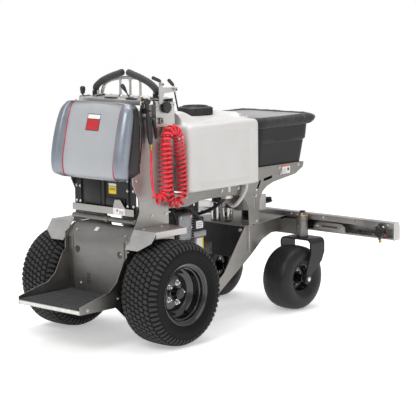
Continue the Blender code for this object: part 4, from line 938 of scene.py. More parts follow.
def thigh_pad():
    levels = curved(PAD_LEVELS, 44)
    rings, seams = [], []
    count = len(levels)
    for n, (z, centre, roll, half, radius) in enumerate(levels):
        t = n / (count - 1)
        close = min(1.0, math.sin(math.pi * min(max(t, 0.02), 0.98)) * 3.2)
        section = pad_section(centre, roll, half, radius, close)
        want = 43
        if len(section) < want:
            section = section[:1] * (want - len(section)) + section
        left = [(x, y, z) for x, y in section[:want]]
        rings.append(left + [(x, -y, z) for x, y, z in left[-2::-1]])
        seams.append((centre + 0.003, z))
    first, last = rings[0], rings[-1]

    def shrunk(ring, share, dz):
        cx = sum(p[0] for p in ring) / len(ring)
        return [(cx + (x - cx) * share, y * (0.5 + share / 2), z + dz) for x, y, z in ring]
    rings = [shrunk(first, 0.35, -0.006), shrunk(first, 0.65, -0.0052), shrunk(first, 0.88, -0.003)] + rings
    rings += [shrunk(last, 0.9, 0.003), shrunk(last, 0.68, 0.0055), shrunk(last, 0.35, 0.0065)]
    bm = bmesh.new()
    grid = [[bm.verts.new(p) for p in ring] for ring in rings]
    wide = len(grid[0])
    for a, b in zip(grid, grid[1:]):
        for i in range(wide):
            j = (i + 1) % wide
            bm.faces.new((a[i], a[j], b[j], b[i]))
    bm.faces.new(grid[0][::-1])
    bm.faces.new(grid[-1])
    bmesh.ops.remove_doubles(bm, verts=bm.verts, dist=0.00005)
    bmesh.ops.recalc_face_normals(bm, faces=bm.faces)
    for face in bm.faces:
        centre = face.calc_center_median()
        face.material_index = 0 if abs(centre.y) < SEAM_Y else 1
    for vert in bm.verts:
        wrinkle = noise.noise(vert.co * 22) * 0.0005
        crease = noise.noise((vert.co.y * 6, vert.co.z * 5, 2.5)) * 0.0016 + wrinkle
        vert.co.x += crease
    mesh = bpy.data.meshes.new("thigh_cushion")
    bm.to_mesh(mesh)
    bm.free()
    mesh.transform(Matrix.Translation((AX, 0, 0)))
    mesh.materials.append(VINYL)
    mesh.materials.append(BOLSTER)
    mesh.shade_smooth()
    pad = bpy.data.objects.new("thigh_cushion", mesh)
    scene.collection.objects.link(pad)
    soft = pad.modifiers.new("soft", "SUBSURF")
    soft.levels = soft.render_levels = 1
    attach(pad, "chassis")
    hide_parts("thigh_pad")
    piping = Build("cushion_piping")
    for s in (-1, 1):
        line = [(x - 0.001, s * SEAM_Y, z) for x, z in seams[1:-1]]
        line = [(line[0][0] + 0.02, s * (SEAM_Y - 0.001), line[0][2] - 0.006)] + line
        line += [(line[-1][0] + 0.018, s * (SEAM_Y - 0.006), line[-1][2] + 0.008)]
        piping.add(PIPING, tube(spline(line, 60), 0.0038, 12))
    centre = levels[-3][1]
    top = [(centre + 0.003, y, 1.3115 + 0.0035 * (1 - (y / 0.2) ** 2))
            for y in [0.2 - 0.4 * k / 12 for k in range(13)]]
    piping.add(PIPING, tube(spline(top, 40), 0.0016, 8))
    piping.done("chassis")
    badge = Build("cushion_patch")
    for mat, w, low, high, lift in ((INK, 0.052, -0.047, 0.047, 0.0011),
            (RED_INK, 0.048, -0.043, 0.016, 0.0017), (LABEL, 0.048, 0.02, 0.043, 0.0017)):
        plate = prism(rounded((-w, low), (w, high), 0.004), "x", 0, -lift, 0.0002, 1)
        tilt = Matrix.Translation((-0.1865, -0.014, 1.222)) @ Matrix.Rotation(math.radians(16.5), 4, "Y")
        badge.add(mat, plate, matrix=tilt)
    badge.done("chassis")


thigh_pad()


def pad_shell():
    rings = []
    for z, rear, front, half, radius in curved(SHELL_LEVELS, 30):
        radius = min(radius, (front - rear) / 2 - 0.0005)
        rings.append([(x, y, z) for x, y in outline((rear, -half), (front, half), radius, 12, 10)])
    ends = []
    for ring, lift in ((rings[0], -1), (rings[-1], 1)):
        cx = sum(p[0] for p in ring) / len(ring)
        ends.append([[(cx + (x - cx) * share, y * (0.9 + share * 0.1), z + lift * dz) for x, y, z in ring]
                for share, dz in ((0.9, 0.002), (0.6, 0.004), (0.2, 0.0045))])
    rings = ends[0][::-1] + rings + ends[1]
    made = Build("cushion_shell").add(SHELL, loft(rings))
    made.add(SHELL, tube(spline([(-0.078, -0.262, 1.0), (-0.066, -0.266, 1.12), (-0.058, -0.262, 1.24),
            (-0.056, -0.25, 1.3)], 30), 0.0035, 10))
    made.done("chassis", "pad_shell", angle=50)


pad_shell()


# ---- Platform mat -------------------------------------------------------------------------------
def platform_mat():
    made = Build("ribbed_mat")
    x0, x1, half, low = -0.529, -0.1595, 0.2345, 0.2503
    made.add(MAT, box((x0, -half, low), (x1, half, low + 0.007), 0.0015))
    for k in range(30):
        x = x0 + 0.01 + (x1 - x0 - 0.02) * k / 29
        for j in range(9):
            y0 = -half + 0.006 + j * (2 * half - 0.012) / 9
            y1 = y0 + (2 * half - 0.012) / 9 - 0.005
            made.add(MAT, box((x - 0.0037, y0, low + 0.0055), (x + 0.0037, y1, low + 0.0115), 0.0012, 1))
    for k in range(27):
        y = -half + 0.01 + (2 * half - 0.02) * k / 26
        made.add(MAT, box((-0.5348, y - 0.0052, low - 0.0002), (-0.52, y + 0.0052, low + 0.011), 0.0012, 1))
    made.done("chassis", "platform_mat", angle=30)


platform_mat()

# ---- Operator's station -------------------------------------------------------------------------
def reference_bar():
    hoop = [(0.118, 0.23, 1.3445), (0.118, 0.227, 1.369), (0.118, 0.206, 1.405), (0.118, 0.16, 1.431),
            (0.118, 0.08, 1.447), (0.118, 0.0, 1.452)]
    route = hoop + [(x, -y, z) for x, y, z in hoop[-2::-1]]
    made = Build("hand_rail").add(STEEL_PAINTED_LIT, tube(spline(route, 80), 0.0102, 20, cap=False))
    for y in (-0.08, 0.0, 0.08):
        made.add(STEEL_PAINTED_LIT, turned([(1.3433, 0), (1.3433, 0.0145), (1.346, 0.015), (1.348, 0.013),
                (1.352, 0.0088), (1.362, 0.0074), (1.425, 0.007), (1.436, 0.0088), (1.44, 0.012),
                (1.447, 0.0122), (1.451, 0)], "z", (0.118, y, 0), 24))
    for y in (-0.23, 0.23):
        made.add(DARK_STEEL, turned([(1.3433, 0), (1.3433, 0.0165), (1.3465, 0.017), (1.35, 0.015),
                (1.352, 0)], "z", (0.118, y, 0), 24))
    made.done("chassis", "reference_bar")


reference_bar()


def steering(name, sign):
    x = 0.08
    grip = [(x, sign * 0.242, 1.384), (x, sign * 0.2395, 1.393), (x, sign * 0.2185, 1.411),
            (x, sign * 0.1775, 1.4345), (x, sign * 0.112, 1.458), (x, sign * 0.06, 1.4725),
            (x, sign * 0.022, 1.484)]
    line = spline(grip, 90)
    radii = []
    for i in range(90):
        t = i / 89
        lump = 0.00035 * math.sin(i * 1.9) + 0.0003 * noise.noise((i * 0.31, sign, 0.5))
        radii.append(0.0192 + lump - 0.0016 * (1 - smooth(t / 0.05)) - 0.0012 * smooth((t - 0.96) / 0.04))
    made = Build(f"steering_grip_{name}").add(FOAM, tube(line, radii, 28))
    end = line[-1]
    out = (line[-1] - line[-2]).normalized()
    made.add(PLASTIC, tube([end + out * 0.002, end + out * 0.0062, end + out * 0.0068],
            [0.0105, 0.0095, 0.004], 20))
    made.add(RAIL, rod("z", (x, sign * 0.242, 0), 0.0112, 1.35, 1.4, 24))
    made.add(DARK_STEEL, rod("y", (x, sign * 0.242, 1.362), 0.0145, -0.0155, 0.0155, 28, 0.002))
    made.add(DARK_STEEL, box((x - 0.016, sign * 0.242 - 0.0125, 1.366),
            (x + 0.016, sign * 0.242 + 0.0125, 1.384), 0.004))
    for dy in (-0.0158, 0.0158):
        made.add(BRIGHT, rod("y", (x, sign * 0.242 + dy * 0.985, 1.362), 0.0055, -0.0012, 0.0012, 6,
                0.0003))
    made.add(BRIGHT, rod("x", (x, sign * 0.242, 1.375), 0.0042, -0.019, -0.015, 6, 0.0004))
    made.done(f"steering_{name}", f"steering_lever_{name}")


for lever_name, lever_sign in both():
    steering(lever_name, lever_sign)


def throttle_handle():
    throttle = Build("throttle_handle")
    throttle.add(RAIL, tube(spline([(0.05, -0.057, 1.35), (0.046, -0.042, 1.372), (0.042, -0.028, 1.394)],
            20), 0.0042, 12))
    throttle.add(PLASTIC, tube(spline([(0.0455, -0.041, 1.3755), (0.043, -0.034, 1.386),
            (0.041, -0.022, 1.402), (0.0395, -0.0125, 1.4135)], 28),
            [0.0062 + 0.0052 * smooth(i / 18) for i in range(28)], 20))
    throttle.done("throttle", "throttle_lever")


def throttle_slot():
    slot = Build("throttle_slot")
    slot.add(PLASTIC, prism(rounded((0.02, -0.072), (0.08, -0.042), 0.006), "z", 1.3432, 1.345, 0.0006))
    slot.add(INK, prism(rounded((0.03, -0.0595), (0.07, -0.0545), 0.002), "z", 1.3451, 1.3456, 0))
    slot.done("chassis")


def spreader_handle():
    spreader = Build("spreader_handle")
    spreader.add(RAIL, rod("z", (0.005, 0.272, 0), 0.0055, 1.347, 1.372, 16))
    spreader.add(PLASTIC, turned([(1.356, 0), (1.356, 0.0085), (1.359, 0.0125), (1.385, 0.0155),
            (1.393, 0.015), (1.3985, 0.0105), (1.4005, 0.0)], "z", (0.005, 0.272, 0), 36))
    for k in range(10):
        t = TAU * k / 10
        spreader.add(PLASTIC, rod("z", (0.005 + 0.0142 * math.cos(t), 0.272 + 0.0142 * math.sin(t), 0),
                0.0014, 1.376, 1.39, 8, 0.0006))
    spreader.done("spreader_control", "spreader_lever")


def spreader_quadrant():
    guide = Build("spreader_quadrant")
    guide.add(DARK_STEEL, prism(rounded((-0.01, 0.26), (0.06, 0.284), 0.006), "z", 1.3432, 1.3462, 0.0006))
    guide.bolt((0.048, 0.272, 1.3462), (0, 0, 1), 0.0045, 0.003)
    guide.done("chassis")


def boom_levers():
    for tag, pivot, root, tip in (("a", (0.073, 1.425), (0.058, 1.4435), (0.0, 1.466)),
            ("b", (0.178, 1.392), (0.16, 1.416), (0.124, 1.447))):
        y = -0.2945
        valve = Build(f"boom_lever_{tag}")
        shank = [(pivot[0], y, pivot[1]), (root[0], y, root[1]),
                (root[0] * 0.8 + tip[0] * 0.2, y, root[1] * 0.8 + tip[1] * 0.2)]
        valve.add(BRIGHT, tube(spline(shank, 16), 0.004, 12))
        handle = spline([(root[0], y, root[1]), (tip[0], y, tip[1])], 24)
        valve.add(PLASTIC, tube(handle, [0.0098 - 0.0022 * (1 - smooth(i / 6)) for i in range(24)], 20))
        valve.add(BRIGHT, rod("y", (pivot[0], y, pivot[1]), 0.0088, -0.0068, 0.0098, 24))
        valve.add(PLASTIC, rod("y", (pivot[0], y - 0.0068, pivot[1]), 0.0052, -0.0016, 0.0, 6, 0.0004))
        valve.done(f"boom_valve_{tag}", f"boom_valve_lever_{tag}")


def pressure_knob():
    knob = Build("pressure_hand_knob")
    profile = [(-0.3, 0), (-0.3, 0.018), (-0.2993, 0.024), (-0.2975, 0.027), (-0.293, 0.0285),
            (-0.2885, 0.0285), (-0.285, 0.0265), (-0.284, 0.021), (-0.284, 0.012), (-0.2769, 0.012),
            (-0.2769, 0)]
    centre = (0.112, 0, 1.2965)
    knob.add(PLASTIC, turned(profile, "y", centre, 48))
    for k in range(12):
        t = TAU * k / 12
        knob.add(PLASTIC, rod("y", (0.112 + 0.0275 * math.sin(t), 0, 1.2965 + 0.0275 * math.cos(t)), 0.0058,
                -0.299, -0.2855, 16, 0.0022))
    knob.done("pressure_control", "pressure_knob")


throttle_handle()
throttle_slot()
spreader_handle()
spreader_quadrant()
boom_levers()
pressure_knob()


def console_details():
    made = Build("console_fittings")
    top = 1.3431
    for x, y, w, h in ((-0.031, 0.003, 0.0195, 0.046), (-0.031, -0.161, 0.0195, 0.04)):
        ring = rounded((x - w, y - h), (x + w, y + h), w - 0.0005, 14)
        inner = rounded((x - w + 0.005, y - h + 0.005), (x + w - 0.005, y + h - 0.005), w - 0.0055, 14)
        rings = [[(a, b, top) for a, b in ring], [(a, b, top + 0.0045) for a, b in ring],
                [(a * 0.75 + c * 0.25, b * 0.75 + d * 0.25, top + 0.0062) for (a, b),
                (c, d) in zip(ring, inner)], [(a, b, top + 0.0055) for a, b in inner],
                [(a, b, top) for a, b in inner]]
        made.add(PLASTIC, ring_loft(rings))
        made.add(INK, prism(inner, "z", top, top + 0.0012, 0))
    made.add(WHITE, turned([(1.3433, 0), (1.3433, 0.0225), (1.346, 0.0225), (1.36, 0.0175), (1.368, 0.011),
            (1.3705, 0.0)], "z", (0.017, -0.224, 0), 40))
    made.add(DARK_STEEL, rod("z", (-0.02, -0.232, 0), 0.0085, 1.3433, 1.352, 16))
    made.add(BLACK_HOSE, tube(spline([(-0.02, -0.232, 1.351), (-0.03, -0.239, 1.356),
            (-0.04, -0.247, 1.352), (-0.045, -0.253, 1.342), (-0.0445, -0.2545, 1.328)], 30), 0.0046, 12))
    made.add(PLASTIC, rod("z", (-0.0445, -0.2565, 0), 0.0082, 1.305, 1.33, 12, 0.002))
    for s in (-1, 1):
        y = s * 0.242
        made.add(DARK_STEEL, box((0.06, min(y - s * 0.021, y - s * 0.04), top),
                (0.1, max(y - s * 0.021, y - s * 0.04), top + 0.005), 0.0015))
        made.bolt((0.068, y - s * 0.031, top + 0.005), (0, 0, 1), 0.0045, 0.003)
        made.bolt((0.092, y - s * 0.031, top + 0.005), (0, 0, 1), 0.0045, 0.003)
    for x, ys in ((-0.04, (-0.215, 0.225)), (0.185, (-0.215, 0.225, 0.284))):
        for y in ys:
            made.bolt((x, y, top), (0, 0, 1), 0.0048, 0.003)
    made.done("chassis")


def control_box():
    panel = Build("control_box_fittings")
    face = -0.2767
    panel.add(PLASTIC, box((0.05, -0.2918, 1.209), (0.083, -0.2752, 1.241), 0.003))
    panel.add(HEAT, rod("y", (0.0665, -0.2918, 1.225), 0.0118, -0.001, 0.0006, 32, 0.0004))
    panel.add(BRIGHT, turned([(-0.2936, 0.0118), (-0.2936, 0.014), (-0.291, 0.0145), (-0.291, 0.0118)], "y",
            (0.0665, 0, 1.225), 32, closed=True))
    panel.add(RED_INK, box((0.066, -0.2931, 1.224), (0.067, -0.2928, 1.2335), 0))
    panel.add(DARK_STEEL, rod("y", (0.112, face, 1.2965), 0.03, -0.0012, 0.0006, 40, 0.0004))
    for x, z in ((0.05, 1.3), (0.179, 1.304), (0.048, 1.198), (0.179, 1.198)):
        panel.bolt((x, face, z), (0, -1, 0), 0.0042, 0.003)
    panel.add(BRASS, rod("z", (0.118, -0.2635, 0), 0.0105, 1.176, 1.1895, 6, 0.001))
    panel.add(BLACK_HOSE, tube(spline([(0.118, -0.2635, 1.176), (0.118, -0.266, 1.154),
            (0.118, -0.278, 1.139), HOSE_START], 24), [0.0083 - 0.001 * i / 23 for i in range(24)], 16))
    for x, z in ((0.073, 1.425), (0.178, 1.392)):
        panel.bolt((x, -0.2845, z), (0, -1, 0), 0.0055, 0.003)
    panel.add(DARK_STEEL, box((0.182, -0.288, 1.386), (0.199, -0.2842, 1.401), 0.001))
    panel.add(PLASTIC, tube([(0.2535, -0.2148, 1.368), (0.284, -0.21, 1.268)], 0.0046, 14))
    panel.done("chassis")


console_details()
control_box()


def gun():
    made = Build("spray_wand")
    line = spline([(-0.036, -0.276, 1.352), (-0.031, -0.2762, 1.315), (-0.0215, -0.277, 1.23),
            (-0.0085, -0.278, 1.106)], 60)
    radii = [0.0122 - 0.002 * smooth((i - 8) / 10) + 0.0046 * smooth((i - 22) / 6) - 0.003
            * smooth((i - 50) / 9) for i in range(60)]
    made.add(PLASTIC, tube(line, radii, 24))
    for k in range(9):
        i = 28 + 2 * k
        p, q = line[i], line[i + 1]
        made.add(PLASTIC, tube([p, p.lerp(q, 0.6)], [radii[i] + 0.0008] * 2, 24))
    made.add(PLASTIC, rod("x", (0, -0.276, 1.335), 0.0138, -0.058, -0.012, 28, 0.003))
    made.add(BRASS, rod("x", (0, -0.276, 1.335), 0.0075, -0.0645, -0.057, 6, 0.001))
    made.add(BRASS, rod("z", (-0.006, -0.278, 0), 0.0098, 1.088, 1.101, 6, 0.001),
            rod("z", (-0.0055, -0.278, 0), 0.0072, 1.068, 1.09, 20),
            rod("z", (-0.0052, -0.278, 0), 0.0088, 1.073, 1.079, 6, 0.0006))
    made.add(DARK_STEEL, box((-0.046, -0.268, 1.27), (-0.006, -0.2505, 1.3), 0.002))
    made.add(DARK_STEEL, tube(spline([(-0.044, -0.262, 1.285), (-0.045, -0.28, 1.285),
            (-0.034, -0.2915, 1.285), (-0.016, -0.2915, 1.285), (-0.0075, -0.28, 1.285),
            (-0.008, -0.262, 1.285)], 30), 0.0035, 10))
    made.add(BRASS, rod("y", (0.016, -0.276, 1.24), 0.0034, -0.0085, 0.0085, 14, 0.0005))
    made.add(PLASTIC, box((-0.016, -0.282, 1.232), (0.022, -0.27, 1.25), 0.003))
    made.done("chassis", "spray_gun")


def gun_trigger():
    trigger = Build("gun_squeeze_lever")
    outline_pts = [(0.0115, 1.2375), (0.011, 1.244), (0.014, 1.2475), (0.019, 1.2475), (0.0225, 1.24),
            (0.0275, 1.224), (0.0345, 1.198), (0.04, 1.172), (0.042, 1.148), (0.0425, 1.131),
            (0.04, 1.1275), (0.031, 1.1285), (0.0285, 1.148), (0.025, 1.168), (0.02, 1.194), (0.015, 1.215)]
    trigger.add(PLASTIC, prism(outline_pts, "y", -0.2835, -0.2685, 0.0022, 3))
    trigger.done("trigger", "gun_trigger")


gun()
gun_trigger()


# ---- Engine and pumps under the tank ------------------------------------------------------------
def engine():
    made = Build("twin_engine")
    made.add(CAST, box((0.245, -0.125, 0.38), (0.5, 0.125, 0.56), 0.014, 3))
    for k in range(7):
        x = 0.265 + 0.033 * k
        made.add(CAST, box((x, -0.1285, 0.395), (x + 0.006, 0.1285, 0.545), 0.0015, 1))
    for s in (-1, 1):
        lo, hi = sorted((s * 0.095, s * 0.232))
        made.add(CAST, box((0.258, lo, 0.52), (0.366, hi, 0.672), 0.012, 3))
        for k in range(9):
            z = 0.53 + 0.0145 * k
            a, b = sorted((s * 0.12, s * 0.2335))
            made.add(CAST, box((0.25, a, z), (0.376, b, z + 0.0055), 0.0018, 1))
        a, b = sorted((s * 0.205, s * 0.236))
        made.add(CAST, box((0.254, a, 0.58), (0.362, b, 0.668), 0.01, 3))
        for dx, dz in ((0.266, 0.592), (0.35, 0.592), (0.266, 0.656), (0.35, 0.656)):
            made.bolt((dx, s * 0.236, dz), (0, s, 0), 0.0048, 0.004)
        made.add(PLASTIC, tube(spline([(0.4, s * 0.15, 0.64), (0.42, s * 0.175, 0.665),
                (0.415, s * 0.12, 0.69), (0.4, s * 0.08, 0.7)], 24), 0.0045, 10))
        made.add(PLASTIC, rod("x", (0, s * 0.165, 0.6), 0.01, 0.388, 0.412, 16))
    muffler = [(0.3, 0), (0.3, 0.036), (0.304, 0.044), (0.312, 0.048), (0.4, 0.0485), (0.405, 0.05),
            (0.41, 0.0485), (0.508, 0.048), (0.516, 0.044), (0.52, 0.036), (0.52, 0)]
    made.add(HEAT, turned(muffler, "x", (0, -0.182, 0.44), 40))
    made.add(HEAT, tube(spline([(0.33, -0.16, 0.52), (0.335, -0.19, 0.505), (0.345, -0.195, 0.48)], 20),
            0.015, 18))
    made.add(HEAT, tube(spline([(0.515, -0.182, 0.43), (0.535, -0.188, 0.425), (0.548, -0.205, 0.42)], 20),
            0.012, 16, cap=True))
    made.add(DARK_STEEL, box((0.374, -0.237, 0.566), (0.464, -0.165, 0.642), 0.01, 3))
    made.add(CAST, box((0.376, -0.236, 0.526), (0.484, -0.17, 0.564), 0.008, 3))
    made.add(LABEL, box((0.393, -0.2384, 0.579), (0.45, -0.2366, 0.622), 0.0003, 1))
    for z in (0.588, 0.598, 0.608):
        made.add(INK, box((0.401, -0.2388, z), (0.44, -0.2383, z + 0.003), 0))
    made.add(WHITE, box((0.398, -0.236, 0.44), (0.446, -0.176, 0.522), 0.006, 3))
    made.add(YELLOW, box((0.444, -0.2372, 0.452), (0.453, -0.19, 0.524), 0.001))
    made.add(DARK_STEEL, box((0.5, -0.11, 0.395), (0.54, 0.11, 0.52), 0.008, 3))
    made.add(PLASTIC, rod("z", (0.58, -0.15, 0), 0.03, 0.4, 0.47, 32, 0.004))
    made.add(YELLOW, rod("x", (0, -0.075, 0.48), 0.008, 0.536, 0.56, 20))
    made.done("chassis", "engine_block", angle=38)


def engine_shroud():
    cowl = Build("engine_shroud")
    cowl.add(PLASTIC, box((0.255, -0.11, 0.6735), (0.49, 0.11, 0.756), 0.028, 5))
    for k in range(7):
        x = 0.285 + 0.028 * k
        cowl.add(PLASTIC, box((x, -0.08, 0.75), (x + 0.01, 0.08, 0.762), 0.003))
    cowl.add(PLASTIC, turned([(0.61, 0), (0.61, 0.064), (0.616, 0.073), (0.7, 0.0745), (0.704, 0.0765),
            (0.712, 0.0765), (0.716, 0.0735), (0.73, 0.07), (0.74, 0.055), (0.743, 0.02), (0.743, 0)], "z",
            (0.545, 0, 0), 48))
    for k in range(24):
        t = TAU * k / 24
        cowl.add(PLASTIC, rod("z", (0.545 + 0.074 * math.cos(t), 0.074 * math.sin(t), 0), 0.0026, 0.622,
                0.698, 8, 0.001))
    for s in (-1, 1):
        cowl.add(BRIGHT, box((0.538, s * 0.078 - 0.004, 0.68), (0.552, s * 0.078 + 0.004, 0.716), 0.002))
    cowl.done("chassis", "engine_cowl")


engine()
engine_shroud()


def filter_bowl():
    made = Build("filter_bowl")
    base = 0.5467
    made.add(BRIGHT, turned([(base, 0), (base, 0.02), (base + 0.006, 0.028), (base + 0.012, 0.0305),
            (base + 0.06, 0.0318), (base + 0.062, 0.0335), (base + 0.082, 0.0338), (base + 0.086, 0.03),
            (base + 0.088, 0.0)], "z", (0.875, -0.05, 0), 48))
    for k in range(20):
        t = TAU * k / 20
        made.add(WHITE, rod("z", (0.875 + 0.0335 * math.cos(t), -0.05 + 0.0335 * math.sin(t), 0), 0.0017,
                base + 0.064, base + 0.08, 8, 0.0006))
    made.add(PLASTIC, rod("z", (0.875, -0.05, 0), 0.0175, base + 0.086, base + 0.094, 28, 0.001),
            rod("z", (0.875, -0.05, 0), 0.0135, base + 0.094, 0.656, 6, 0.001))
    made.add(BRIGHT, rod("z", (0.88, 0.045, 0), 0.036, base, 0.66, 36, 0.004))
    made.add(DARK_STEEL, rod("z", (0.88, 0.045, 0), 0.03, 0.66, 0.684, 36, 0.004))
    made.add(BLACK_HOSE, tube(spline([(0.88, 0.045, 0.684), (0.88, 0.04, 0.72), (0.87, 0.01, 0.752),
            (0.84, -0.04, 0.766), (0.8, -0.06, 0.772)], 40), 0.0105, 14))
    made.done("chassis", "line_filter")


def suction_line():
    route = [(0.79, -0.272, 0.8035), (0.788, -0.272, 0.775), (0.765, -0.27, 0.735), (0.735, -0.262, 0.7),
            (0.735, -0.225, 0.672), (0.78, -0.15, 0.672), (0.84, -0.085, 0.69), (0.872, -0.055, 0.682),
            (0.875, -0.05, 0.659)]
    hose = Build("suction_line").add(HOSE, tube(spline(route, 120), 0.0112, 20))
    for at in (6, 112):
        line = spline(route, 120)
        hose.add(BRIGHT, tube([line[at - 2], line[at + 2]], 0.0121, 24))
    hose.done("chassis", "suction_hose")


def engine_bay_hoses():
    wires = Build("engine_bay_hoses")
    for points, r, mat in (([(0.3, -0.22, 0.72), (0.36, -0.235, 0.69), (0.42, -0.238, 0.64),
            (0.468, -0.225, 0.6), (0.49, -0.19, 0.56), (0.495, -0.15, 0.52)], 0.0065, BLACK_HOSE),
            ([(0.23, -0.2, 0.7), (0.25, -0.215, 0.64), (0.245, -0.22, 0.56), (0.235, -0.2, 0.45)], 0.008,
            BLACK_HOSE), ([(0.6, 0.12, 0.56), (0.64, 0.02, 0.6), (0.68, -0.08, 0.64), (0.7, -0.15, 0.69),
            (0.668, -0.23, 0.738)], 0.0105, BLACK_HOSE), ([(0.455, -0.14, 0.64), (0.47, -0.12, 0.662),
            (0.49, -0.08, 0.655)], 0.006, RED_HOSE)):
        wires.add(mat, tube(spline(points, 60), r, 14))
    wires.done("chassis")


filter_bowl()
suction_line()
engine_bay_hoses()


# ---- Spreader and boom --------------------------------------------------------------------------
def spreader():
    made = Build("finned_disc")
    centre = (1.12, 0, 0)
    made.add(PLASTIC, turned([(0.632, 0), (0.632, 0.022), (0.636, 0.024), (0.636, 0.146), (0.6375, 0.1495),
            (0.6395, 0.1495), (0.641, 0.147), (0.64, 0.13), (0.64, 0.036), (0.644, 0.026), (0.66, 0.02),
            (0.6655, 0.014), (0.666, 0.0)], "z", centre, 72))
    for k in range(4):
        turn = Matrix.Translation((1.12, 0, 0)) @ Matrix.Rotation(math.radians(45 + 90 * k), 4, "Z")
        fin = [(0.016, 0.639), (0.145, 0.639), (0.145, 0.657), (0.14, 0.6625), (0.06, 0.6625),
                (0.024, 0.66), (0.016, 0.656)]
        made.add(PLASTIC, prism(fin, "y", -0.0015, 0.0015, 0.0005), matrix=turn)
        foot = box((0.03, -0.007, 0.6395), (0.143, 0.007, 0.6415), 0.0006)
        made.add(PLASTIC, foot, matrix=turn)
        made.add(BRIGHT, bolt((0.055, 0.0045, 0.6412), (0, 0, 1), 0.003, 0.0022), matrix=turn)
        made.add(BRIGHT, bolt((0.12, 0.0045, 0.6412), (0, 0, 1), 0.003, 0.0022), matrix=turn)
    made.add(BRIGHT, rod("z", (1.12, 0, 0), 0.0045, 0.664, 0.6665, 6, 0.0004))
    made.done("spinner", "spinner_disc")


spreader()


def nozzle(name, sign):
    y = sign * 0.892
    made = Build(f"nozzle_turret_{name}")
    made.add(PLASTIC, rod("x", (0, y, 0.512), 0.03, 1.258, 1.2945, 32, 0.003))
    for k in range(5):
        t = TAU * k / 5 + math.pi
        at = (1.268, y + 0.03 * math.sin(t), 0.512 + 0.03 * math.cos(t))
        out = Matrix.Translation(at) @ Matrix.Rotation(-t, 4, "X")
        made.add(PLASTIC, rod("z", (0, 0, 0), 0.0085, -0.006, 0.013, 8, 0.0015), matrix=out)
        made.add((YELLOW, RED_INK, WHITE, BRASS, LABEL)[k], rod("z", (0, 0, 0), 0.006, 0.012, 0.0165, 16,
                0.001), matrix=out)
    made.add(PLASTIC, rod("z", (1.274, y, 0), 0.011, 0.545, 0.566, 20, 0.001),
            rod("z", (1.274, y, 0), 0.0135, 0.555, 0.562, 6, 0.001))
    made.add(PLASTIC, rod("x", (0, y, 0.512), 0.014, 1.2515, 1.259, 28, 0.002))
    made.add(BRASS, rod("z", (1.274, y, 0), 0.0095, 0.452, 0.466, 6, 0.001))
    made.done("chassis", f"nozzle_{name}")


for nozzle_name, nozzle_sign in both():
    nozzle(nozzle_name, nozzle_sign)


def boom_details():
    made = Build("boom_fittings")
    for s in (-1, 1):
        for y in (0.2, 0.45, 0.7, 0.93):
            made.bolt((1.2952, s * y, 0.556), (-1, 0, 0), 0.0062, 0.004)
        line = spline([(1.31, s * 0.1, 0.505), (1.312, s * 0.3, 0.4955), (1.312, s * 0.55, 0.4905),
                (1.312, s * 0.75, 0.492), (1.306, s * 0.86, 0.505)], 70)
        made.add(RAIL, tube(line, 0.007, 14))
        for y in (0.25, 0.5, 0.72):
            made.add(DARK_STEEL, tube([(1.312, s * (y - 0.006), 0.494), (1.312, s * (y + 0.006), 0.494)],
                    0.0105, 18))
        made.add(STEEL_PAINTED_LIT, prism([(s * 0.375, 0.478), (s * 0.62, 0.478), (s * 0.615, 0.512),
                (s * 0.585, 0.528), (s * 0.42, 0.528), (s * 0.385, 0.512)], "x", 1.2925, 1.2953, 0.0005))
        made.add(INK, prism(rounded((min(s * 0.44, s * 0.56), 0.4985), (max(s * 0.44, s * 0.56), 0.5095),
                0.005), "x", 1.2915, 1.2926, 0))
        for y in (0.405, 0.595):
            made.bolt((1.2923, s * y, 0.502), (-1, 0, 0), 0.0055, 0.004)
        made.add(PLASTIC, box((1.299, min(s * 0.08, s * 0.12), 0.485),
                (1.334, max(s * 0.08, s * 0.12), 0.545), 0.005))
    made.done("chassis")


boom_details()


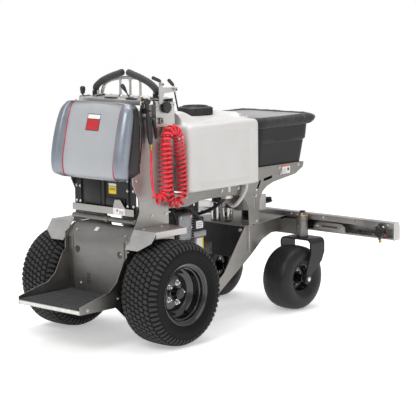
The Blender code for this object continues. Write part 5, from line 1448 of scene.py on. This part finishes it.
# ---- Fasteners, welds and plain labels ----------------------------------------------------------
def frame_fasteners():
    made = Build("frame_fasteners")
    for s in (-1, 1):
        out = 0.2502 * s
        for x, z in ((0.195, 0.775), (0.3, 0.775), (0.6, 0.778), (0.745, 0.778), (0.9, 0.858),
                (1.12, 0.865), (1.3, 0.868), (1.133, 0.828), (0.901, 0.718), (0.905, 0.565)):
            made.bolt((x, out, z), (0, s, 0), 0.0066, 0.005)
        for x, z in ((0.02, 0.7), (0.13, 0.7), (-0.02, 1.285), (0.17, 1.285), (0.175, 0.84), (-0.1, 0.905)):
            made.bolt((x, out, z), (0, s, 0), 0.006, 0.0045)
        for x, z in ((-0.165, 0.52), (-0.165, 0.44), (-0.25, 0.275), (-0.48, 0.245)):
            made.bolt((x, out, z), (0, s, 0), 0.007, 0.005)
        for y, z in ((0.222, 0.455), (0.222, 0.52)):
            made.bolt((0.7933, s * y, z), (-1, 0, 0), 0.0085, 0.006)
            made.bolt((0.7987, s * y, z), (1, 0, 0), 0.0085, 0.006)
        for x in (-0.08, 0.06):
            made.bolt((x, s * 0.285, 0.6391), (0, 0, 1), 0.007, 0.005)
        made.add(RUST, tube(spline([(0.875, s * 0.2515, 0.5435), (0.905, s * 0.244, 0.544),
                (0.93, s * 0.238, 0.544)], 16), 0.003, 8))
        for z in (0.455, 0.523):
            made.add(RUST, tube(spline([(1.2205, s * 0.169, z), (1.2215, s * 0.166, z),
                    (1.2225, s * 0.164, z)], 8), 0.0035, 8))
        made.add(RUST, tube([(1.2215, s * 0.1675, 0.456), (1.2215, s * 0.1675, 0.53)], 0.0028, 8))
        made.add(RUST, turned([(0.5325, 0.0366), (0.5335, 0.0392), (0.5355, 0.0392), (0.5365, 0.0366)], "z",
                (1.257, s * 0.318, 0), 40, closed=True))
        made.add(BRASS, rod("z", (1.257, s * 0.318, 0), 0.037, 0.5625, 0.5675, 40, 0.001))
        made.add(PLASTIC, rod("z", (1.257, s * 0.318, 0), 0.019, 0.586, 0.5915, 24, 0.002))
        made.add(BRIGHT, rod("x", (0, s * 0.318, 0.5), 0.0042, 1.216, 1.221, 12))
    made.done("chassis")


def frame_fold_highlights():
    # A thin bright strip laid along each side frame's bend: a painted highlight for the light the fold
    # catches.
    fold = Build("frame_fold_painted_highlights")
    for s in (-1, 1):
        a, b = sorted((s * 0.2569, s * 0.258))
        fold.add(BRIGHT, box((0.831, a, 0.384), (0.8345, b, 0.556), 0.0004))
    fold.done("chassis")


def rear_cover():
    rear = Build("rear_cover_details")
    face = -0.1552
    for s in (-1, 1):
        lo, hi = sorted((s * 0.205, s * 0.2435))
        rear.add(SHADE, box((-0.1566, lo, 0.266), (-0.1551, hi, 0.56), 0.0004, 1))
        rear.add(STEEL, box((-0.16, s * 0.205 - 0.0018, 0.264), (-0.1549, s * 0.205 + 0.0018, 0.566),
                0.0008))
        rear.bolt((face, s * 0.15, 0.3), (-1, 0, 0), 0.006, 0.0045)
        rear.add(PLASTIC, turned([(-0.1562, 0.0138), (-0.1575, 0.016), (-0.156, 0.0185), (-0.155, 0.0185),
                (-0.155, 0.0138)], "x", (0, s * 0.17, 0.493), 36, closed=True))
        rear.bolt((-0.131, s * 0.195, 0.5975), (-0.72, 0, 0.69), 0.0062, 0.0045)
    for k in range(5):
        z = 0.304 + 0.0125 * k
        rear.add(INK, prism(rounded((0.07, z), (0.098, z + 0.0075), 0.0022), "x", -0.1558, -0.1549, 0))
    rear.add(LABEL, prism(rounded((-0.014, -0.014), (0.014, 0.014), 0.002), "z", 0, 0.0004, 0),
            matrix=Matrix.Translation((-0.1185, 0.048, 0.6135)) @ Matrix.Rotation(math.radians(-44), 4,
            "Y"))
    # Thin bright band across the platform's rear lip: a painted highlight along the edge.
    rear.add(BRIGHT, box((-0.5352, -0.2435, 0.229), (-0.5346, 0.2435, 0.2465), 0.0002, 1))
    rear.done("chassis")


def plain_labels():
    tag = Build("plain_labels")
    tag.add(YELLOW, prism(rounded((-0.094, 0.82), (-0.034, 0.862), 0.002), "x", -0.099, -0.0982, 0))
    for z in (0.848, 0.841):
        tag.add(INK, prism(rounded((-0.088, z), (-0.042, z + 0.003), 0.001), "x", -0.0994, -0.0989, 0))
    tag.add(LABEL, prism(rounded((-0.094, 0.864), (-0.034, 0.878), 0.002), "x", -0.099, -0.0982, 0))
    tag.add(ORANGE, prism(rounded((1.149, 0.8645), (1.222, 0.8725), 0.001), "y", -0.2512, -0.2501, 0))
    tag.add(LABEL, prism(rounded((1.149, 0.822), (1.222, 0.864), 0.001), "y", -0.2512, -0.2501, 0))
    tag.add(INK, prism(rounded((1.196, 0.838), (1.212, 0.856), 0.002), "y", -0.2516, -0.2511, 0))
    for z in (0.829, 0.836, 0.843, 0.85):
        tag.add(INK, prism(rounded((1.155, z), (1.186, z + 0.0016), 0.0006), "y", -0.2515, -0.2511, 0))
    tag.add(LABEL, prism(rounded((-0.178, 0.7095), (-0.088, 0.746), 0.002), "x", -0.12, -0.1189, 0))
    tag.add(RED_INK, prism(rounded((-0.126, 0.727), (-0.114, 0.739), 0.002), "x", -0.1203, -0.1199, 0))
    for z in (0.715, 0.72, 0.725, 0.73):
        tag.add(INK, prism(rounded((-0.172, z), (-0.134, z + 0.0016), 0.0006), "x", -0.1203, -0.1199, 0))
    tag.done("chassis")


def guard_fasteners():
    guard = Build("guard_fasteners")
    for y in (-0.228, -0.19, 0.19, 0.228):
        for z in (0.76, 0.846, 0.902):
            guard.bolt((-0.0982 if abs(y) > 0.2 else -0.1062, y, z), (-1, 0, 0), 0.0052, 0.004)
    guard.add(DARK_STEEL, box((-0.104, -0.165, 0.745), (-0.098, -0.012, 0.8), 0.003))
    guard.add(DARK_STEEL, box((-0.101, 0.03, 0.735), (-0.0978, 0.165, 0.905), 0.002))
    guard.done("chassis")


frame_fasteners()
frame_fold_highlights()
rear_cover()
plain_labels()
guard_fasteners()


# ---- Floor, light ---------------------------------------------------------------------------------
floor_mesh = bpy.data.meshes.new("floor")
floor_mesh.from_pydata([(-40, -40, 0), (40, -40, 0), (40, 60, 0), (-40, 60, 0)], [], [(0, 1, 2, 3)])
floor = bpy.data.objects.new("floor", floor_mesh)
floor.location.z = -0.0005
scene.collection.objects.link(floor)
floor_mesh.materials.append(material("studio_floor", (0.9, 0.9, 0.9), (0.88, 0.88, 0.88), 0.75, 0.0, 0.6,
        Emission_Color=(1, 1, 1, 1), Emission_Strength=0.38))
world = bpy.data.worlds.new("studio")
scene.world = world
world.use_nodes = True
tree = world.node_tree
back = tree.nodes["Background"]
coord = tree.nodes.new("ShaderNodeTexCoord")
split = tree.nodes.new("ShaderNodeSeparateXYZ")
tone = tree.nodes.new("ShaderNodeValToRGB")
# Pale all round, with a darker band low on the far side that gives the metal something to reflect.
for where, grey in ((0.0, 0.98), (0.46, 0.98), (0.52, 0.8), (0.62, 0.62), (0.8, 0.86), (1.0, 1.0)):
    stop = tone.color_ramp.elements.new(where) if 0 < where < 1 else tone.color_ramp.elements[int(where)]
    stop.color = (grey, grey, grey, 1)
rays = tree.nodes.new("ShaderNodeLightPath")
plain = tree.nodes.new("ShaderNodeBackground")
mix = tree.nodes.new("ShaderNodeMixShader")
level = tree.nodes.new("ShaderNodeMapRange")
level.inputs["From Min"].default_value = -1
tree.links.new(coord.outputs["Generated"], split.inputs["Vector"])
tree.links.new(split.outputs["Z"], level.inputs["Value"])
tree.links.new(level.outputs["Result"], tone.inputs["Fac"])
tree.links.new(tone.outputs["Color"], back.inputs["Color"])
tree.links.new(rays.outputs["Is Camera Ray"], mix.inputs["Fac"])
tree.links.new(back.outputs["Background"], mix.inputs[1])
tree.links.new(plain.outputs["Background"], mix.inputs[2])
tree.links.new(mix.outputs["Shader"], tree.nodes["World Output"].inputs["Surface"])
back.inputs["Strength"].default_value = 0.8
plain.inputs["Color"].default_value = (1, 1, 1, 1)
plain.inputs["Strength"].default_value = 1.0


def lamp(name, at, size, power, target=(0.1, 0, 0.7), tint=(1, 1, 1)):
    data = bpy.data.lights.new(name, "AREA")
    data.shape, data.size, data.size_y, data.energy, data.color = "RECTANGLE", size[0], size[1], power, tint
    made = bpy.data.objects.new(name, data)
    made.location = at
    made.rotation_euler = (Vector(target) - Vector(at)).to_track_quat("-Z", "Y").to_euler()
    scene.collection.objects.link(made)


lamp("key", (-4.5, -1.5, 4.5), (2.5, 2.5), 120)
lamp("fill", (0.5, -6.0, 2.2), (3.0, 2.5), 22)
lamp("top", (0.8, 0.5, 5.0), (3.0, 3.0), 130)
scene.view_settings.view_transform = "Standard"
